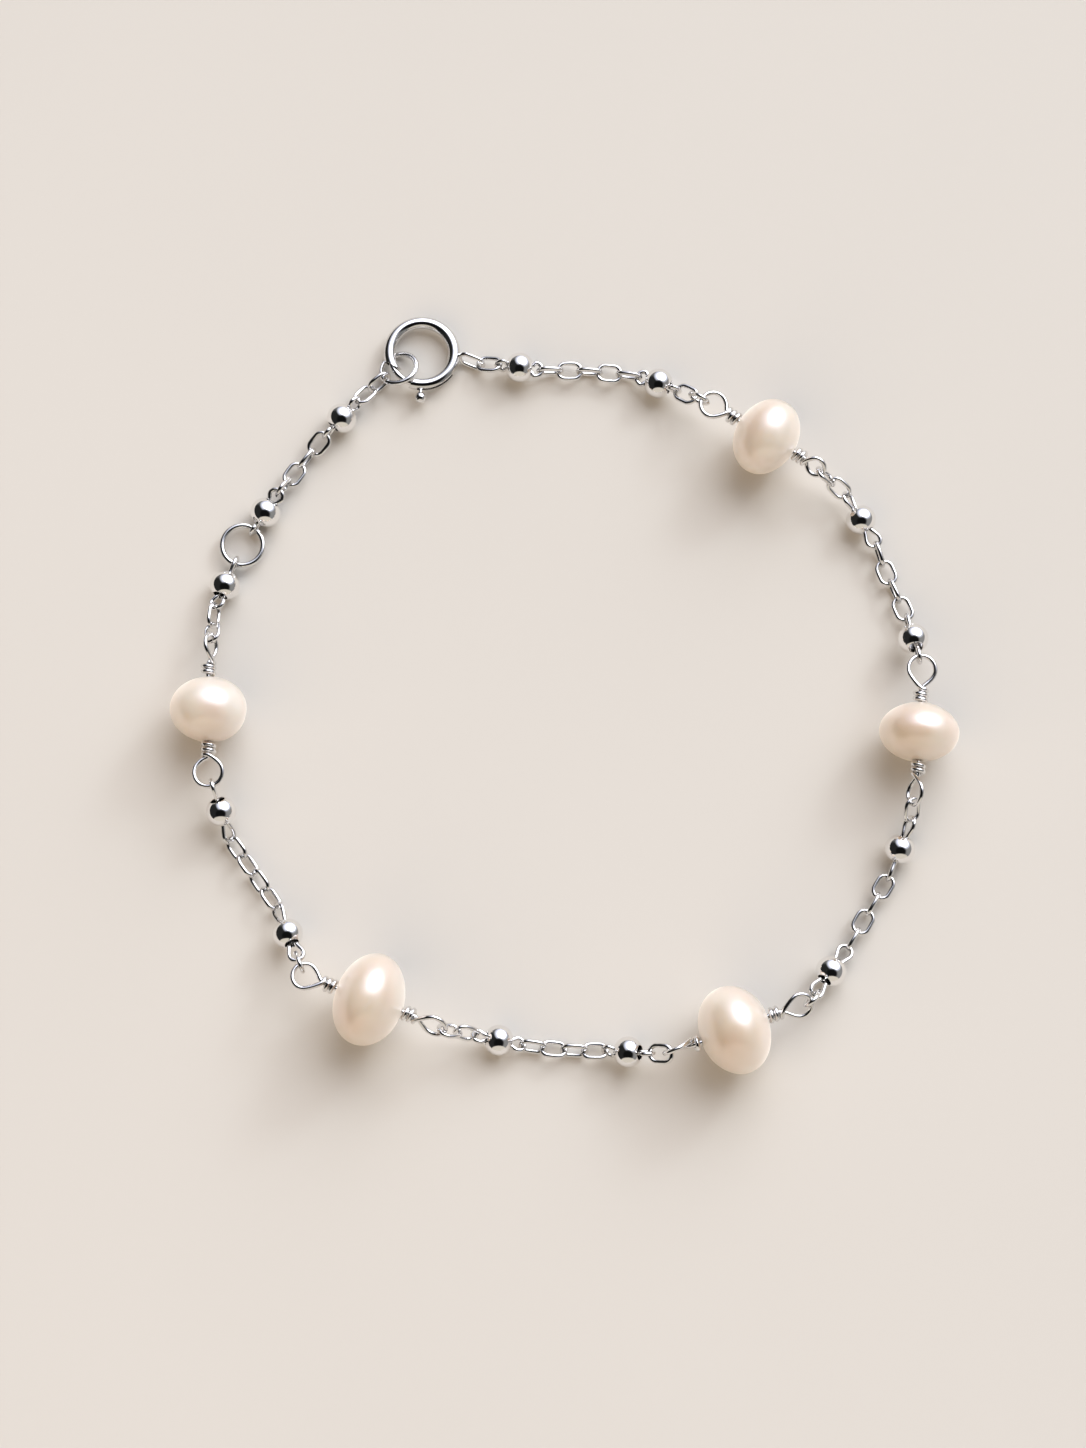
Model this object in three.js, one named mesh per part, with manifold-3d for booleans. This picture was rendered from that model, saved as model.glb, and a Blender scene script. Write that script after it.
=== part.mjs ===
import * as THREE from 'three';
import { mergeVertices } from 'three/addons/utils/BufferGeometryUtils.js';
import Module from 'manifold-3d';

// A silver bracelet of wire-wrapped pearls and cable chain with ball stations, lying closed on a
// flat surface. Millimetres, +Z up, the origin on the surface under the middle of the loop.

// Plain chain link
const linkLength = 2.19;
const linkWidth = 1.6;
const linkWire = 0.35;

// Station link, the longer link that a ball sits on, and its legs' spacing inside the ball
const stationLength = 5.0;
const stationWidth = 1.45;
const stationLegs = 0.54;

// Silver ball
const ballDiameter = 2.35;
const ballLength = 1.93;
const ballBore = 1.1;

// Wire through a pearl, the rise of its coils, the length that a coil's turn takes up and the gap
// between the last coil and the pearl
const pinWire = 0.36;
const pinCoilGap = 0.07;
const pinCoilPitch = 0.4;
const pinCoilRest = 0.03;
const pinLead = 0.16;
const pinLoopWidth = 2.0;

// Middling length of a pearl along its hole, and the hole itself
const pearlLength = 5.0;
const pearlBore = 0.62;

// Clasp: a tube bent into a ring, with a tongue that slides in its bore
const claspDiameter = 6.0;
const claspTube = 0.93;
const claspBore = 0.69;
const tongueDiameter = 0.46;
const stemDiameter = 0.3;
const triggerDiameter = 0.88;
const triggerRise = 0.6;

// Places round the clasp, in degrees anticlockwise from its eye
const mouthEnd = -101.5;
const socketEnd = -149.5;
const mouthSlant = 4.5;
const socketSlant = 13.5;
const triggerPlace = -87.5;
const jumpRingPlace = -141.9;
const tongueInSocket = 6;
const tongueBehindTrigger = 27;
const tongueTravel = 50;

// Eye soldered to the clasp
const eyeLength = 2.3;
const eyeWidth = 1.5;
const eyeWire = 0.34;
const eyeHeading = -18;
const eyeRoll = 68;

// Rings in the chain
const jumpRingDiameter = 3.3;
const jumpRingWire = 0.44;
const sizingRingDiameter = 3.6;
const sizingRingWire = 0.44;

// Running gap between pieces that hook each other, and how far fused links sink together
const hookGap = 0.08;
const fuse = 0.07;

// How many wire lengths a stretch takes to fall, for each unit that it falls from a pearl
const fallRate = 2.1;

// Facets
const wireSides = 5;
const archSections = 5;
const loopSections = 8;
const coilSections = 8;
const ringSections = 18;
const ballSides = 12;
const ballRows = 6;
const pearlSides = 16;
const pearlRows = 8;
const claspSections = 24;
const claspSides = 8;
const triggerSides = 10;
const triggerRows = 6;

// Search for the next contact: the furthest that it can be, as a share of the route, and the
// halvings that find it
const furthestStep = 0.2;
const halvings = 40;

// Height of a ball's middle that keeps it clear of the surface at any tilt
const ballRest = ballDiameter / 2 + hookGap;

// Pearls in order round the bracelet. diameter and length are shares of the middling length, and
// loop and neck are shares of a loop's width: how wide a pin's loop is and what it has beyond a
// circle. turns counts the coils behind a loop, and its roll is 0 where it lies flat.
const pearlTable = [
  {
    diameter: 1.24, length: 0.96,
    start: { loop: 1.19, neck: 0.045, turns: 2.25, roll: 0 },
    end: { loop: 0.93, neck: 0.025, turns: 2.25, roll: 40 },
  },
  {
    diameter: 1.24, length: 0.88,
    start: { loop: 1.23, neck: 0.165, turns: 2.25, roll: 0 },
    end: { loop: 1.15, neck: 0.105, turns: 2.25, roll: 55 },
  },
  {
    diameter: 1.38, length: 1.04,
    start: { loop: 1.1, neck: 0.21, turns: 2.25, roll: 25 },
    end: { loop: 1.1, neck: 0.11, turns: 1.25, roll: 75 },
  },
  {
    diameter: 1.46, length: 1.03,
    start: { loop: 1.15, neck: 0.18, turns: 2.25, roll: 50 },
    end: { loop: 1.125, neck: 0.17, turns: 2.25, roll: 0 },
  },
  {
    diameter: 1.21, length: 0.994,
    start: { loop: 1.275, neck: 0.03, turns: 2.25, roll: 0 },
    end: { loop: 1.1, neck: 0.11, turns: 2.25, roll: 60 },
  },
];

// Stretches of chain, each between two of the clasp, the pearls and the sizing ring. Links are
// counted before, between and after the balls, and turn rolls the run between two balls. A
// station's length and the slides of the balls along it are shares of the station length.
const stretches = [
  { links: [1, 5, 2], station: 0.79, turn: 90, slides: [0, 0] },
  { links: [2, 4, 0], station: 1.03, turn: 90, slides: [0, 0] },
  { links: [1, 4, 1], station: 1.09, turn: 0, slides: [0, 0] },
  { links: [1, 4, 2], station: 0.88, turn: 30, slides: [0, 0] },
  { links: [1, 4, 0], station: 1.1, turn: 45, slides: [-0.02, 0] },
  { links: [2, 0], station: 0.99, turn: 0, slides: [-0.04] },
  { links: [0, 4, 2], station: 0.89, turn: 90, slides: [0, 0] },
];

// Chosen points of the bracelet's route seen from above, which it follows at the size it needs
const routePoints = [
  [-12.7, 25.6], [-6.5, 26.1], [-3.1, 25.4], [1.9, 25.4], [7.5, 24.5], [11.4, 22.2],
  [16.0, 19.4], [19.9, 17.0], [23.3, 13.9], [25.1, 9.4], [27.1, 4.4], [27.5, 1.5],
  [27.4, -4.0], [26.8, -9.5], [25.9, -12.8], [23.6, -16.9], [20.7, -21.6], [18.2, -24.4],
  [13.1, -26.5], [8.3, -28.2], [4.6, -27.9], [0.1, -27.8], [-4.9, -27.1], [-8.6, -26.3],
  [-14.1, -24.9], [-19.0, -22.8], [-20.5, -18.8], [-23.5, -14.2], [-26.0, -10.4], [-26.7, -7.5],
  [-27.2, -2.1], [-26.9, 3.5], [-26.3, 8.0], [-24.7, 11.4], [-22.9, 13.9], [-19.9, 18.2],
  [-17.1, 21.4],
];

const UP = new THREE.Vector3(0, 0, 1);
const ALONG = new THREE.Vector3(1, 0, 0);
const radians = THREE.MathUtils.degToRad;
const quarterTurn = 90;
const halfTurn = 180;

const wasm = await Module();
wasm.setup();

// Materials
const silver = new THREE.MeshStandardMaterial({ color: 0xdcdcde, roughness: 0.12, metalness: 1 });
const brightSilver = new THREE.MeshStandardMaterial({ color: 0xe4e4e6, roughness: 0.06, metalness: 1 });
const nacre = new THREE.MeshStandardMaterial({ color: 0xf3ebe2, roughness: 0.22, metalness: 0 });

// A smooth route that has one section of wire at each of its points
class WireRoute extends THREE.CatmullRomCurve3 {
  getUtoTmapping(u) {
    return u;
  }
}

function pointOnCircle(radius, degrees) {
  return new THREE.Vector2(radius, 0).rotateAround(new THREE.Vector2(), radians(degrees));
}

// Solids for joining and cutting

function solidOf(geometry) {
  const bare = geometry.clone();
  bare.deleteAttribute('normal');
  bare.deleteAttribute('uv');
  const merged = mergeVertices(bare, 1e-4);
  return new wasm.Manifold(new wasm.Mesh({
    numProp: 3,
    vertProperties: merged.attributes.position.array,
    triVerts: new Uint32Array(merged.index.array),
  }));
}

function geometryOf(solid) {
  const mesh = solid.getMesh();
  const geometry = new THREE.BufferGeometry();
  geometry.setAttribute('position', new THREE.BufferAttribute(mesh.vertProperties, 3));
  geometry.setIndex(new THREE.BufferAttribute(mesh.triVerts, 1));
  geometry.computeVertexNormals();
  return geometry;
}

function fused(geometries) {
  return geometries.map(solidOf).reduce((whole, part) => whole.add(part));
}

// Wire and drilled beads

function openWire(points, diameter) {
  const corners = [];
  for (let i = 0; i < wireSides; i++) {
    corners.push(pointOnCircle(diameter / 2, (360 * i) / wireSides));
  }
  const extrudePath = new WireRoute(points);
  const steps = points.length - 1;
  return new THREE.ExtrudeGeometry(new THREE.Shape(corners), { extrudePath, steps });
}

// A closed loop has no ends, so a closed tube is whole
function closedWire(points, diameter) {
  const route = new WireRoute(points, true);
  return new THREE.TubeGeometry(route, points.length, diameter / 2, wireSides, true);
}

// The round end of an oval loop at x from its middle
function archPoints(length, width, wire) {
  const bend = (width - wire) / 2;
  const middle = (length - wire) / 2 - bend;
  const points = [];
  for (let i = 0; i < archSections; i++) {
    const corner = pointOnCircle(bend, -90 + (180 * i) / (archSections - 1));
    points.push(new THREE.Vector3(middle + corner.x, corner.y, 0));
  }
  return points;
}

// An oval loop of wire about its own middle, long along x and wide along y
function ovalWire(length, width, wire) {
  const points = archPoints(length, width, wire);
  const otherEnd = points.map((point) => point.clone().applyAxisAngle(UP, Math.PI));
  return closedWire([...points, ...otherEnd], wire);
}

// A flattened ball drilled along x, whose flats stand at its true radius
function drilledBead(diameter, length, bore, sides, rows) {
  const mouth = Math.acos(bore / diameter);
  const halfRow = mouth / (rows - 1);
  const radius = diameter / 2 / Math.cos(halfRow) / Math.cos(Math.PI / sides);
  const rise = length / 2 / Math.sin(mouth);
  const profile = [];
  for (let row = 0; row < rows; row++) {
    const angle = -mouth + 2 * halfRow * row;
    const inMouth = row === 0 || row === rows - 1;
    profile.push(new THREE.Vector2(inMouth ? bore / 2 : radius * Math.cos(angle), rise * Math.sin(angle)));
  }
  profile.push(profile[0].clone());
  const bead = new THREE.LatheGeometry(profile, sides, Math.PI / sides);
  return bead.rotateZ(-Math.PI / 2);
}

// Frames

// x from one point towards another, y level and then rolled about x
function frameAlong(from, to, roll) {
  const along = to.clone().sub(from).normalize();
  const side = UP.clone().cross(along).normalize().applyAxisAngle(along, radians(roll));
  const normal = along.clone().cross(side);
  return new THREE.Matrix4().makeBasis(along, side, normal).setPosition(from);
}

// A loop that chain can hook: its wire's centre line is a circle about the centre
function hookLoop(centre, heading, roll, radius, wire) {
  const target = new THREE.Vector3(1, 0, 0).applyAxisAngle(UP, radians(heading)).add(centre);
  return { frame: frameAlong(centre, target, roll), radius, wire, roll };
}

// The point on a loop's wire that is pulled towards a target
function hookPoint(loop, pose, target) {
  const frame = pose.clone().multiply(loop.frame);
  const pull = target.clone().applyMatrix4(frame.clone().invert()).setZ(0);
  return pull.setLength(loop.radius).applyMatrix4(frame);
}

function loopCentre(loop) {
  return new THREE.Vector3().setFromMatrixPosition(loop.frame);
}

// Pearls on their pins, each about its pearl's middle with x along the wire

function pinEnd({ loop, neck, turns, roll }) {
  return { across: loop * pinLoopWidth, neck: neck * pinLoopWidth, turns, roll };
}

const pearls = pearlTable.map(({ diameter, length, start, end }) => ({
  diameter: diameter * pearlLength,
  length: length * pearlLength,
  start: pinEnd(start),
  end: pinEnd(end),
}));

function pinCoilLength(end) {
  return pinLead + end.turns * pinCoilPitch + pinWire / 2 + pinCoilRest;
}

function pinLoopRadius(end) {
  return (end.across - pinWire) / 2;
}

function pinLoopCentre(pearl, end) {
  return pearl.length / 2 + pinCoilLength(end) + pinLoopRadius(end) + end.neck;
}

// Half of a pin's route, from the middle of the pearl out, round the loop and back in coils
function pinHalf(pearl, end) {
  const radius = pinLoopRadius(end);
  const centre = pinLoopCentre(pearl, end);
  const neck = pearl.length / 2 + pinCoilLength(end);
  const coil = pinWire + pinCoilGap;
  const roll = radians(end.roll);
  const place = (x, side, rise) => new THREE.Vector3(
    x,
    side * Math.cos(roll) - rise * Math.sin(roll),
    side * Math.sin(roll) + rise * Math.cos(roll),
  );
  const points = [place(neck / 2, 0, 0), place(neck - pinLead, 0, 0)];
  const opening = THREE.MathUtils.radToDeg(Math.acos(radius / (centre - neck + pinLead)));
  for (let i = 0; i <= loopSections; i++) {
    const share = i / loopSections;
    const spot = pointOnCircle(radius, -180 + opening + share * (360 - 2 * opening));
    points.push(place(centre + spot.x, spot.y, coil * share));
  }
  const coilPoints = Math.round(end.turns * coilSections);
  for (let i = 0; i <= coilPoints; i++) {
    const turn = i / coilSections;
    const spot = pointOnCircle(coil, 90 + 360 * turn);
    points.push(place(neck - pinLead - turn * pinCoilPitch, spot.x, spot.y));
  }
  return points;
}

function pearlPin(pearl) {
  const turnedBack = pinHalf(pearl, pearl.start).map((point) => point.applyAxisAngle(UP, Math.PI));
  return openWire([...turnedBack.reverse(), ...pinHalf(pearl, pearl.end)], pinWire);
}

function pearlCarrier(pearl, index) {
  const height = pearl.diameter / 2;
  const place = (end, side) => new THREE.Vector3(side * pinLoopCentre(pearl, end), 0, height);
  const loop = (end, side, roll) =>
    hookLoop(place(end, side), 0, roll, pinLoopRadius(end), pinWire);
  const bead = new THREE.Mesh(
    drilledBead(pearl.diameter, pearl.length, pearlBore, pearlSides, pearlRows), nacre,
  );
  bead.name = `pearl_${index + 1}`;
  const pin = new THREE.Mesh(pearlPin(pearl), silver);
  pin.name = `pearl_pin_${index + 1}`;
  bead.position.z = height;
  pin.position.z = height;
  return {
    start: loop(pearl.start, -1, -pearl.start.roll),
    end: loop(pearl.end, 1, pearl.end.roll),
    high: true,
    meshes: [bead, pin],
  };
}

// Sizing ring, which lies level at the height of the station links hooked in it

function sizingRingCarrier() {
  const radius = (sizingRingDiameter - sizingRingWire) / 2;
  const height = stationWidth / 2;
  const ring = new THREE.Mesh(
    new THREE.TorusGeometry(radius, sizingRingWire / 2, wireSides, ringSections), silver,
  );
  ring.name = 'sizing_ring';
  ring.position.z = height;
  const loop = hookLoop(new THREE.Vector3(0, 0, height), 0, 0, radius, sizingRingWire);
  return { start: loop, end: loop, high: false, meshes: [ring] };
}

// Clasp, about the middle of its ring with x towards its eye

const claspRadius = (claspDiameter - claspTube) / 2;
const jumpRingRadius = (jumpRingDiameter - jumpRingWire) / 2;

// The jump ring crosses under the tube and over the tongue, which sets its roll and its place
const crossUnder = (claspTube + jumpRingWire) / 2 + hookGap;
const crossOver = (tongueDiameter + jumpRingWire) / 2 + hookGap;
const jumpRingRoll = Math.asin((crossUnder + crossOver) / 2 / jumpRingRadius);
const jumpRingReach = Math.sqrt(claspRadius ** 2 - (jumpRingRadius * Math.cos(jumpRingRoll)) ** 2);

// The clasp leans with the jump ring under one side and its eye on the surface
const eyeDrop = ((eyeWidth - eyeWire) / 2) * Math.sin(radians(eyeRoll)) + eyeWire / 2;
const eyeMiddle = eyeFramePoint(eyeLength / 2);
const jumpRingSide = new THREE.Vector3(1, 0, 0).applyAxisAngle(UP, radians(jumpRingPlace));
const leanRun = jumpRingReach - eyeMiddle.dot(jumpRingSide);
const claspLean = Math.asin((jumpRingWire / 2 + crossUnder - eyeDrop) / leanRun);
const claspHeight = eyeDrop - eyeMiddle.dot(jumpRingSide) * Math.sin(claspLean);

// A sector between two radii, pointed past the outer one, with ends that can slant
function claspSector(inner, outer, from, to, thickness, fromSlant = 0, toSlant = 0) {
  const corner = (radius, middle, slant) =>
    pointOnCircle(radius, middle + (slant * (radius - claspRadius)) / (claspTube / 2));
  const shape = new THREE.Shape([
    corner(inner, from, fromSlant),
    corner(outer, from, fromSlant),
    pointOnCircle(outer + claspTube, (from + to) / 2),
    corner(outer, to, toSlant),
    corner(inner, to, toSlant),
  ]);
  const sector = new THREE.ExtrudeGeometry(shape, { depth: thickness, bevelEnabled: false });
  return sector.translate(0, 0, -thickness / 2);
}

function claspTorus(diameter) {
  return new THREE.TorusGeometry(claspRadius, diameter / 2, claspSides, claspSections);
}

// The eye starts in the tube's outer wall and x runs along it
function eyeFrame() {
  const base = new THREE.Vector3(claspRadius + claspTube / 2, 0, 0);
  const heading = new THREE.Vector3(1, 0, 0).applyAxisAngle(UP, radians(eyeHeading)).add(base);
  return frameAlong(base, heading, eyeRoll);
}

function eyeFramePoint(reach) {
  return new THREE.Vector3(reach, 0, 0).applyMatrix4(eyeFrame());
}

function claspEye() {
  const eye = ovalWire(eyeLength, eyeWidth, eyeWire);
  return eye.translate(eyeLength / 2 - eyeWire / 2, 0, 0).applyMatrix4(eyeFrame());
}

function claspRing() {
  const body = fused([claspTorus(claspTube), claspEye()]);
  const inside = claspRadius - claspTube;
  const outside = claspRadius + claspTube;
  const mouth = claspSector(inside, outside, socketEnd, mouthEnd, 2 * claspTube,
    -socketSlant, -mouthSlant);
  const stemWay = THREE.MathUtils.radToDeg((stemDiameter / 2 + hookGap) / claspRadius);
  const slot = claspSector(claspRadius, outside, triggerPlace - stemWay,
    triggerPlace + tongueTravel + stemWay, stemDiameter + 2 * hookGap);
  return body
    .subtract(solidOf(claspTorus(claspBore)))
    .subtract(solidOf(mouth))
    .subtract(solidOf(slot));
}

function claspBolt() {
  const from = socketEnd - tongueInSocket;
  const to = triggerPlace + tongueBehindTrigger;
  const steps = Math.ceil(((to - from) * claspSections) / 360);
  const points = [];
  for (let i = 0; i <= steps; i++) {
    const spot = pointOnCircle(claspRadius, from + ((to - from) * i) / steps);
    points.push(new THREE.Vector3(spot.x, spot.y, 0));
  }
  const reach = claspTube / 2 + triggerRise;
  const stem = new THREE.CylinderGeometry(stemDiameter / 2, stemDiameter / 2, reach, claspSides);
  stem.rotateZ(-Math.PI / 2).translate(claspRadius + reach / 2, 0, 0).rotateZ(radians(triggerPlace));
  const trigger = new THREE.SphereGeometry(triggerDiameter / 2, triggerSides, triggerRows);
  trigger.translate(claspRadius + reach, 0, 0).rotateZ(radians(triggerPlace));
  return fused([openWire(points, tongueDiameter), stem, trigger]);
}

// The clasp lies on the surface in its leaning frame, and the jump ring by itself beside it
function claspCarrier() {
  const leanAxis = new THREE.Vector3(0, -1, 0).applyAxisAngle(UP, radians(jumpRingPlace));
  const lean = new THREE.Matrix4().makeRotationAxis(leanAxis, claspLean);
  lean.setPosition(0, 0, claspHeight);
  const ring = new THREE.Mesh(geometryOf(claspRing()), silver);
  ring.name = 'clasp_ring';
  const bolt = new THREE.Mesh(geometryOf(claspBolt()), silver);
  bolt.name = 'clasp_bolt';
  const clasp = new THREE.Group();
  clasp.applyMatrix4(lean);
  clasp.add(ring, bolt);

  const beside = new THREE.Vector3(jumpRingReach, 0, 0).applyAxisAngle(UP, radians(jumpRingPlace));
  const centre = beside.clone().applyMatrix4(lean);
  centre.z += (crossOver - crossUnder) / 2;
  const rollDegrees = THREE.MathUtils.radToDeg(jumpRingRoll);
  const heading = jumpRingPlace + 180;
  const ringLoop = hookLoop(centre, heading, -rollDegrees, jumpRingRadius, jumpRingWire);
  const jump = new THREE.Mesh(
    new THREE.TorusGeometry(jumpRingRadius, jumpRingWire / 2, wireSides, ringSections), silver,
  );
  jump.name = 'jump_ring';
  jump.applyMatrix4(ringLoop.frame);

  const eyeBend = (eyeWidth - eyeWire) / 2;
  const eyeCentre = new THREE.Matrix4().makeTranslation(eyeLength - eyeWire - eyeBend, 0, 0);
  const eyeLoop = {
    frame: lean.clone().multiply(eyeFrame()).multiply(eyeCentre),
    radius: eyeBend,
    wire: eyeWire,
    roll: eyeRoll,
  };
  return { start: ringLoop, end: eyeLoop, high: false, meshes: [clasp, jump] };
}

// Pieces of chain, each about its own middle with x along the chain

function linkWireLoop(roll) {
  return ovalWire(linkLength, linkWidth, linkWire).rotateX(radians(roll));
}

// A long link that is narrow inside its ball, with each end rolled by itself
function stationWireLoop(length, rolls, slide) {
  const points = [];
  rolls.forEach((roll, end) => {
    const turn = end === 0 ? Math.PI : 0;
    const mouth = ballLength / 2 + (end === 0 ? -slide : slide);
    const arch = archPoints(length, stationWidth, linkWire);
    const legs = [-1, 1].map((side) => new THREE.Vector3(mouth, (side * stationLegs) / 2, 0));
    for (const point of [legs[0], ...arch, legs[1]]) {
      points.push(point.applyAxisAngle(UP, turn).applyAxisAngle(ALONG, radians(roll)));
    }
  });
  return closedWire(points, linkWire);
}

// The same roll of a two-sided loop, at most a quarter turn from another
function nearestRoll(roll, other) {
  return roll + halfTurn * Math.round((other - roll) / halfTurn);
}

// The pieces of a stretch in order, each with the roll of its two ends
function stretchPieces(stretch, startRoll, endRoll) {
  const lastRun = stretch.links.length - 1;
  const firstRolls = stretch.links.map((count, run) => {
    if (run === 0) return startRoll + quarterTurn;
    return run === lastRun ? endRoll + quarterTurn * count : stretch.turn;
  });
  const pieces = [];
  let roll = startRoll;
  stretch.links.forEach((count, run) => {
    for (let i = 0; i < count; i++) {
      roll = firstRolls[run] + quarterTurn * i;
      pieces.push({ length: linkLength, rolls: [roll, roll] });
    }
    if (run < lastRun) {
      const next = stretch.links[run + 1] > 0 ? firstRolls[run + 1] : endRoll;
      const first = roll + quarterTurn;
      pieces.push({
        length: stretch.station * stationLength,
        rolls: [first, nearestRoll(next + quarterTurn, first)],
        slide: stretch.slides[run] * stationLength,
      });
    }
  });
  return pieces;
}

// How far a piece reaches past its contact at each end, and its span between the contacts
function measurePieces(pieces, startLoop, endLoop) {
  const joined = (linkWire - fuse) / 2;
  const hooked = (loop) => (linkWire + loop.wire) / 2 + hookGap;
  pieces.forEach((piece, i) => {
    piece.before = i === 0 ? hooked(startLoop) : joined;
    piece.after = i === pieces.length - 1 ? hooked(endLoop) : joined;
    piece.span = piece.length - linkWire - piece.before - piece.after;
  });
}

// Heights of the contacts inside a stretch, which falls from the pearls at its ends
function contactHeights(pieces, start, end) {
  const rest = linkWidth / 2;
  const fall = (carrier, height, distance) => {
    const drop = carrier.high ? height - rest : 0;
    const share = drop > 0 ? Math.max(0, 1 - distance / (fallRate * drop)) : 0;
    return rest + drop * share ** 2;
  };
  const ends = [loopCentre(start.end).z, loopCentre(end.start).z];
  const heights = [ends[0]];
  const total = pieces.reduce((sum, piece) => sum + piece.span, 0);
  let distance = 0;
  for (const piece of pieces.slice(0, -1)) {
    distance += piece.span;
    heights.push(Math.max(fall(start, ends[0], distance), fall(end, ends[1], total - distance)));
  }
  heights.push(ends[1]);
  pieces.forEach((piece, i) => restBall(piece, i, heights));
  return heights;
}

// Lifts the free ends of a station link until its ball clears the surface
function restBall(piece, index, heights) {
  if (piece.slide === undefined) return;
  const share = 0.5 + piece.slide / piece.span;
  const height = heights[index] * (1 - share) + heights[index + 1] * share;
  const lift = Math.max(0, ballRest - height);
  const startHeld = index === 0;
  const endHeld = index === heights.length - 2;
  if (!startHeld) heights[index] += endHeld ? lift / (1 - share) : lift;
  if (!endHeld) heights[index + 1] += startHeld ? lift / share : lift;
}

// Walk round the route

const carriers = [claspCarrier(), ...pearls.map(pearlCarrier), sizingRingCarrier()];
const route = new THREE.CatmullRomCurve3(
  routePoints.map(([x, y]) => new THREE.Vector3(x, y, 0)), true,
);

// The first place after another one where a distance has grown to its target
function advance(place, target, distanceAt) {
  let near = place;
  let far = place + furthestStep;
  for (let i = 0; i < halvings; i++) {
    const middle = (near + far) / 2;
    if (distanceAt(middle) < target) near = middle;
    else far = middle;
  }
  return near;
}

// A carrier's pose, turned and moved on the surface so that its two loops stand on two places
function carrierPose(carrier, from, to) {
  const start = loopCentre(carrier.start);
  const shank = loopCentre(carrier.end).sub(start);
  const turn = Math.atan2(to.y - from.y, to.x - from.x) - Math.atan2(shank.y, shank.x);
  const pose = new THREE.Matrix4().makeRotationZ(turn);
  start.applyMatrix4(pose);
  return pose.setPosition(from.x - start.x, from.y - start.y, 0);
}

class Walk {
  constructor(scale) {
    this.scale = scale;
    this.place = 0;
    this.poses = [this.seat(carriers[0], 0)];
    this.stretches = stretches.map((stretch, i) => this.layStretch(stretch, i));
  }

  at(place, height = 0) {
    return route.getPoint(place % 1).multiplyScalar(this.scale).setZ(height);
  }

  // Seats a carrier with its first loop at a place, and goes on from its second loop
  seat(carrier, place) {
    const from = this.at(place);
    const shank = loopCentre(carrier.end).sub(loopCentre(carrier.start)).setZ(0).length();
    this.place = advance(place, shank, (next) => this.at(next).distanceTo(from));
    return carrierPose(carrier, from, this.at(this.place));
  }

  layStretch(stretch, index) {
    const start = carriers[index];
    const end = carriers[(index + 1) % carriers.length];
    const pieces = stretchPieces(stretch, start.end.roll, end.start.roll);
    measurePieces(pieces, start.end, end.start);
    const heights = contactHeights(pieces, start, end);
    const pose = this.poses[index];
    const contacts = [];
    pieces.slice(0, -1).forEach((piece, i) => {
      const target = (place) => this.at(place, heights[i + 1]);
      const source = (point) => (i === 0 ? hookPoint(start.end, pose, point) : contacts[i]);
      this.place = advance(this.place, piece.span, (place) => {
        const point = target(place);
        return source(point).distanceTo(point);
      });
      if (i === 0) contacts.push(source(target(this.place)));
      contacts.push(target(this.place));
    });
    const last = contacts.at(-1);
    const from = this.place;
    const hookAt = (place) => hookPoint(end.start, this.seat(end, place), last);
    this.startPlace = advance(from, pieces.at(-1).span, (place) => {
      const clear = this.at(place).distanceTo(last.clone().setZ(0)) > end.start.radius;
      return clear ? hookAt(place).distanceTo(last) : 0;
    });
    this.poses.push(this.seat(end, this.startPlace));
    contacts.push(hookPoint(end.start, this.poses.at(-1), last));
    return { pieces, contacts };
  }
}

// The scale of the route at which the walk ends where it began
function closingScale() {
  let small = 0.5;
  let large = 2;
  for (let i = 0; i < halvings; i++) {
    const middle = (small + large) / 2;
    if (new Walk(middle).startPlace > 1) small = middle;
    else large = middle;
  }
  return large;
}

const laid = new Walk(closingScale());
const bracelet = new THREE.Group();

carriers.forEach((carrier, i) => {
  const group = new THREE.Group();
  group.applyMatrix4(laid.poses[i]);
  group.add(...carrier.meshes);
  bracelet.add(group);
});

// The middle of a piece, and the ball on it if it has one
function pieceFrame(piece, from, to, shift) {
  const along = to.clone().sub(from).normalize();
  const middle = from.clone().addScaledVector(along, (piece.span + piece.after - piece.before) / 2 + shift);
  return frameAlong(middle, middle.clone().add(along), 0);
}

let ballCount = 0;
laid.stretches.forEach(({ pieces, contacts }, index) => {
  const wires = pieces.map((piece, i) => {
    const frame = pieceFrame(piece, contacts[i], contacts[i + 1], 0);
    const isLink = piece.slide === undefined;
    const loop = isLink
      ? linkWireLoop(piece.rolls[0])
      : stationWireLoop(piece.length, piece.rolls, piece.slide);
    if (!isLink) {
      ballCount += 1;
      const ball = new THREE.Mesh(
        drilledBead(ballDiameter, ballLength, ballBore, ballSides, ballRows), brightSilver,
      );
      ball.name = `ball_${String(ballCount).padStart(2, '0')}`;
      ball.applyMatrix4(pieceFrame(piece, contacts[i], contacts[i + 1], piece.slide));
      bracelet.add(ball);
    }
    return loop.applyMatrix4(frame);
  });
  const chain = new THREE.Mesh(geometryOf(fused(wires)), silver);
  chain.name = `chain_${index + 1}`;
  bracelet.add(chain);
});

const middle = new THREE.Box3().setFromObject(bracelet, true).getCenter(new THREE.Vector3());
bracelet.position.set(-middle.x, -middle.y, 0);

const whole = new THREE.Group();
whole.add(bracelet);
export default whole;
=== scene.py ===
"""Pearl bracelet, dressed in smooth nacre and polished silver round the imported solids.

The chain is laid by the same walk as the solids': from the clasp along a chosen route, piece
after piece, so that every smooth link, ball and pearl stands where its solid is. Lengths are in
metres and angles in degrees.
"""

import logging
import math
from dataclasses import dataclass, field
from enum import Enum
from typing import Callable, Sequence

import bmesh
import bpy
from mathutils import Matrix, Vector


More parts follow.
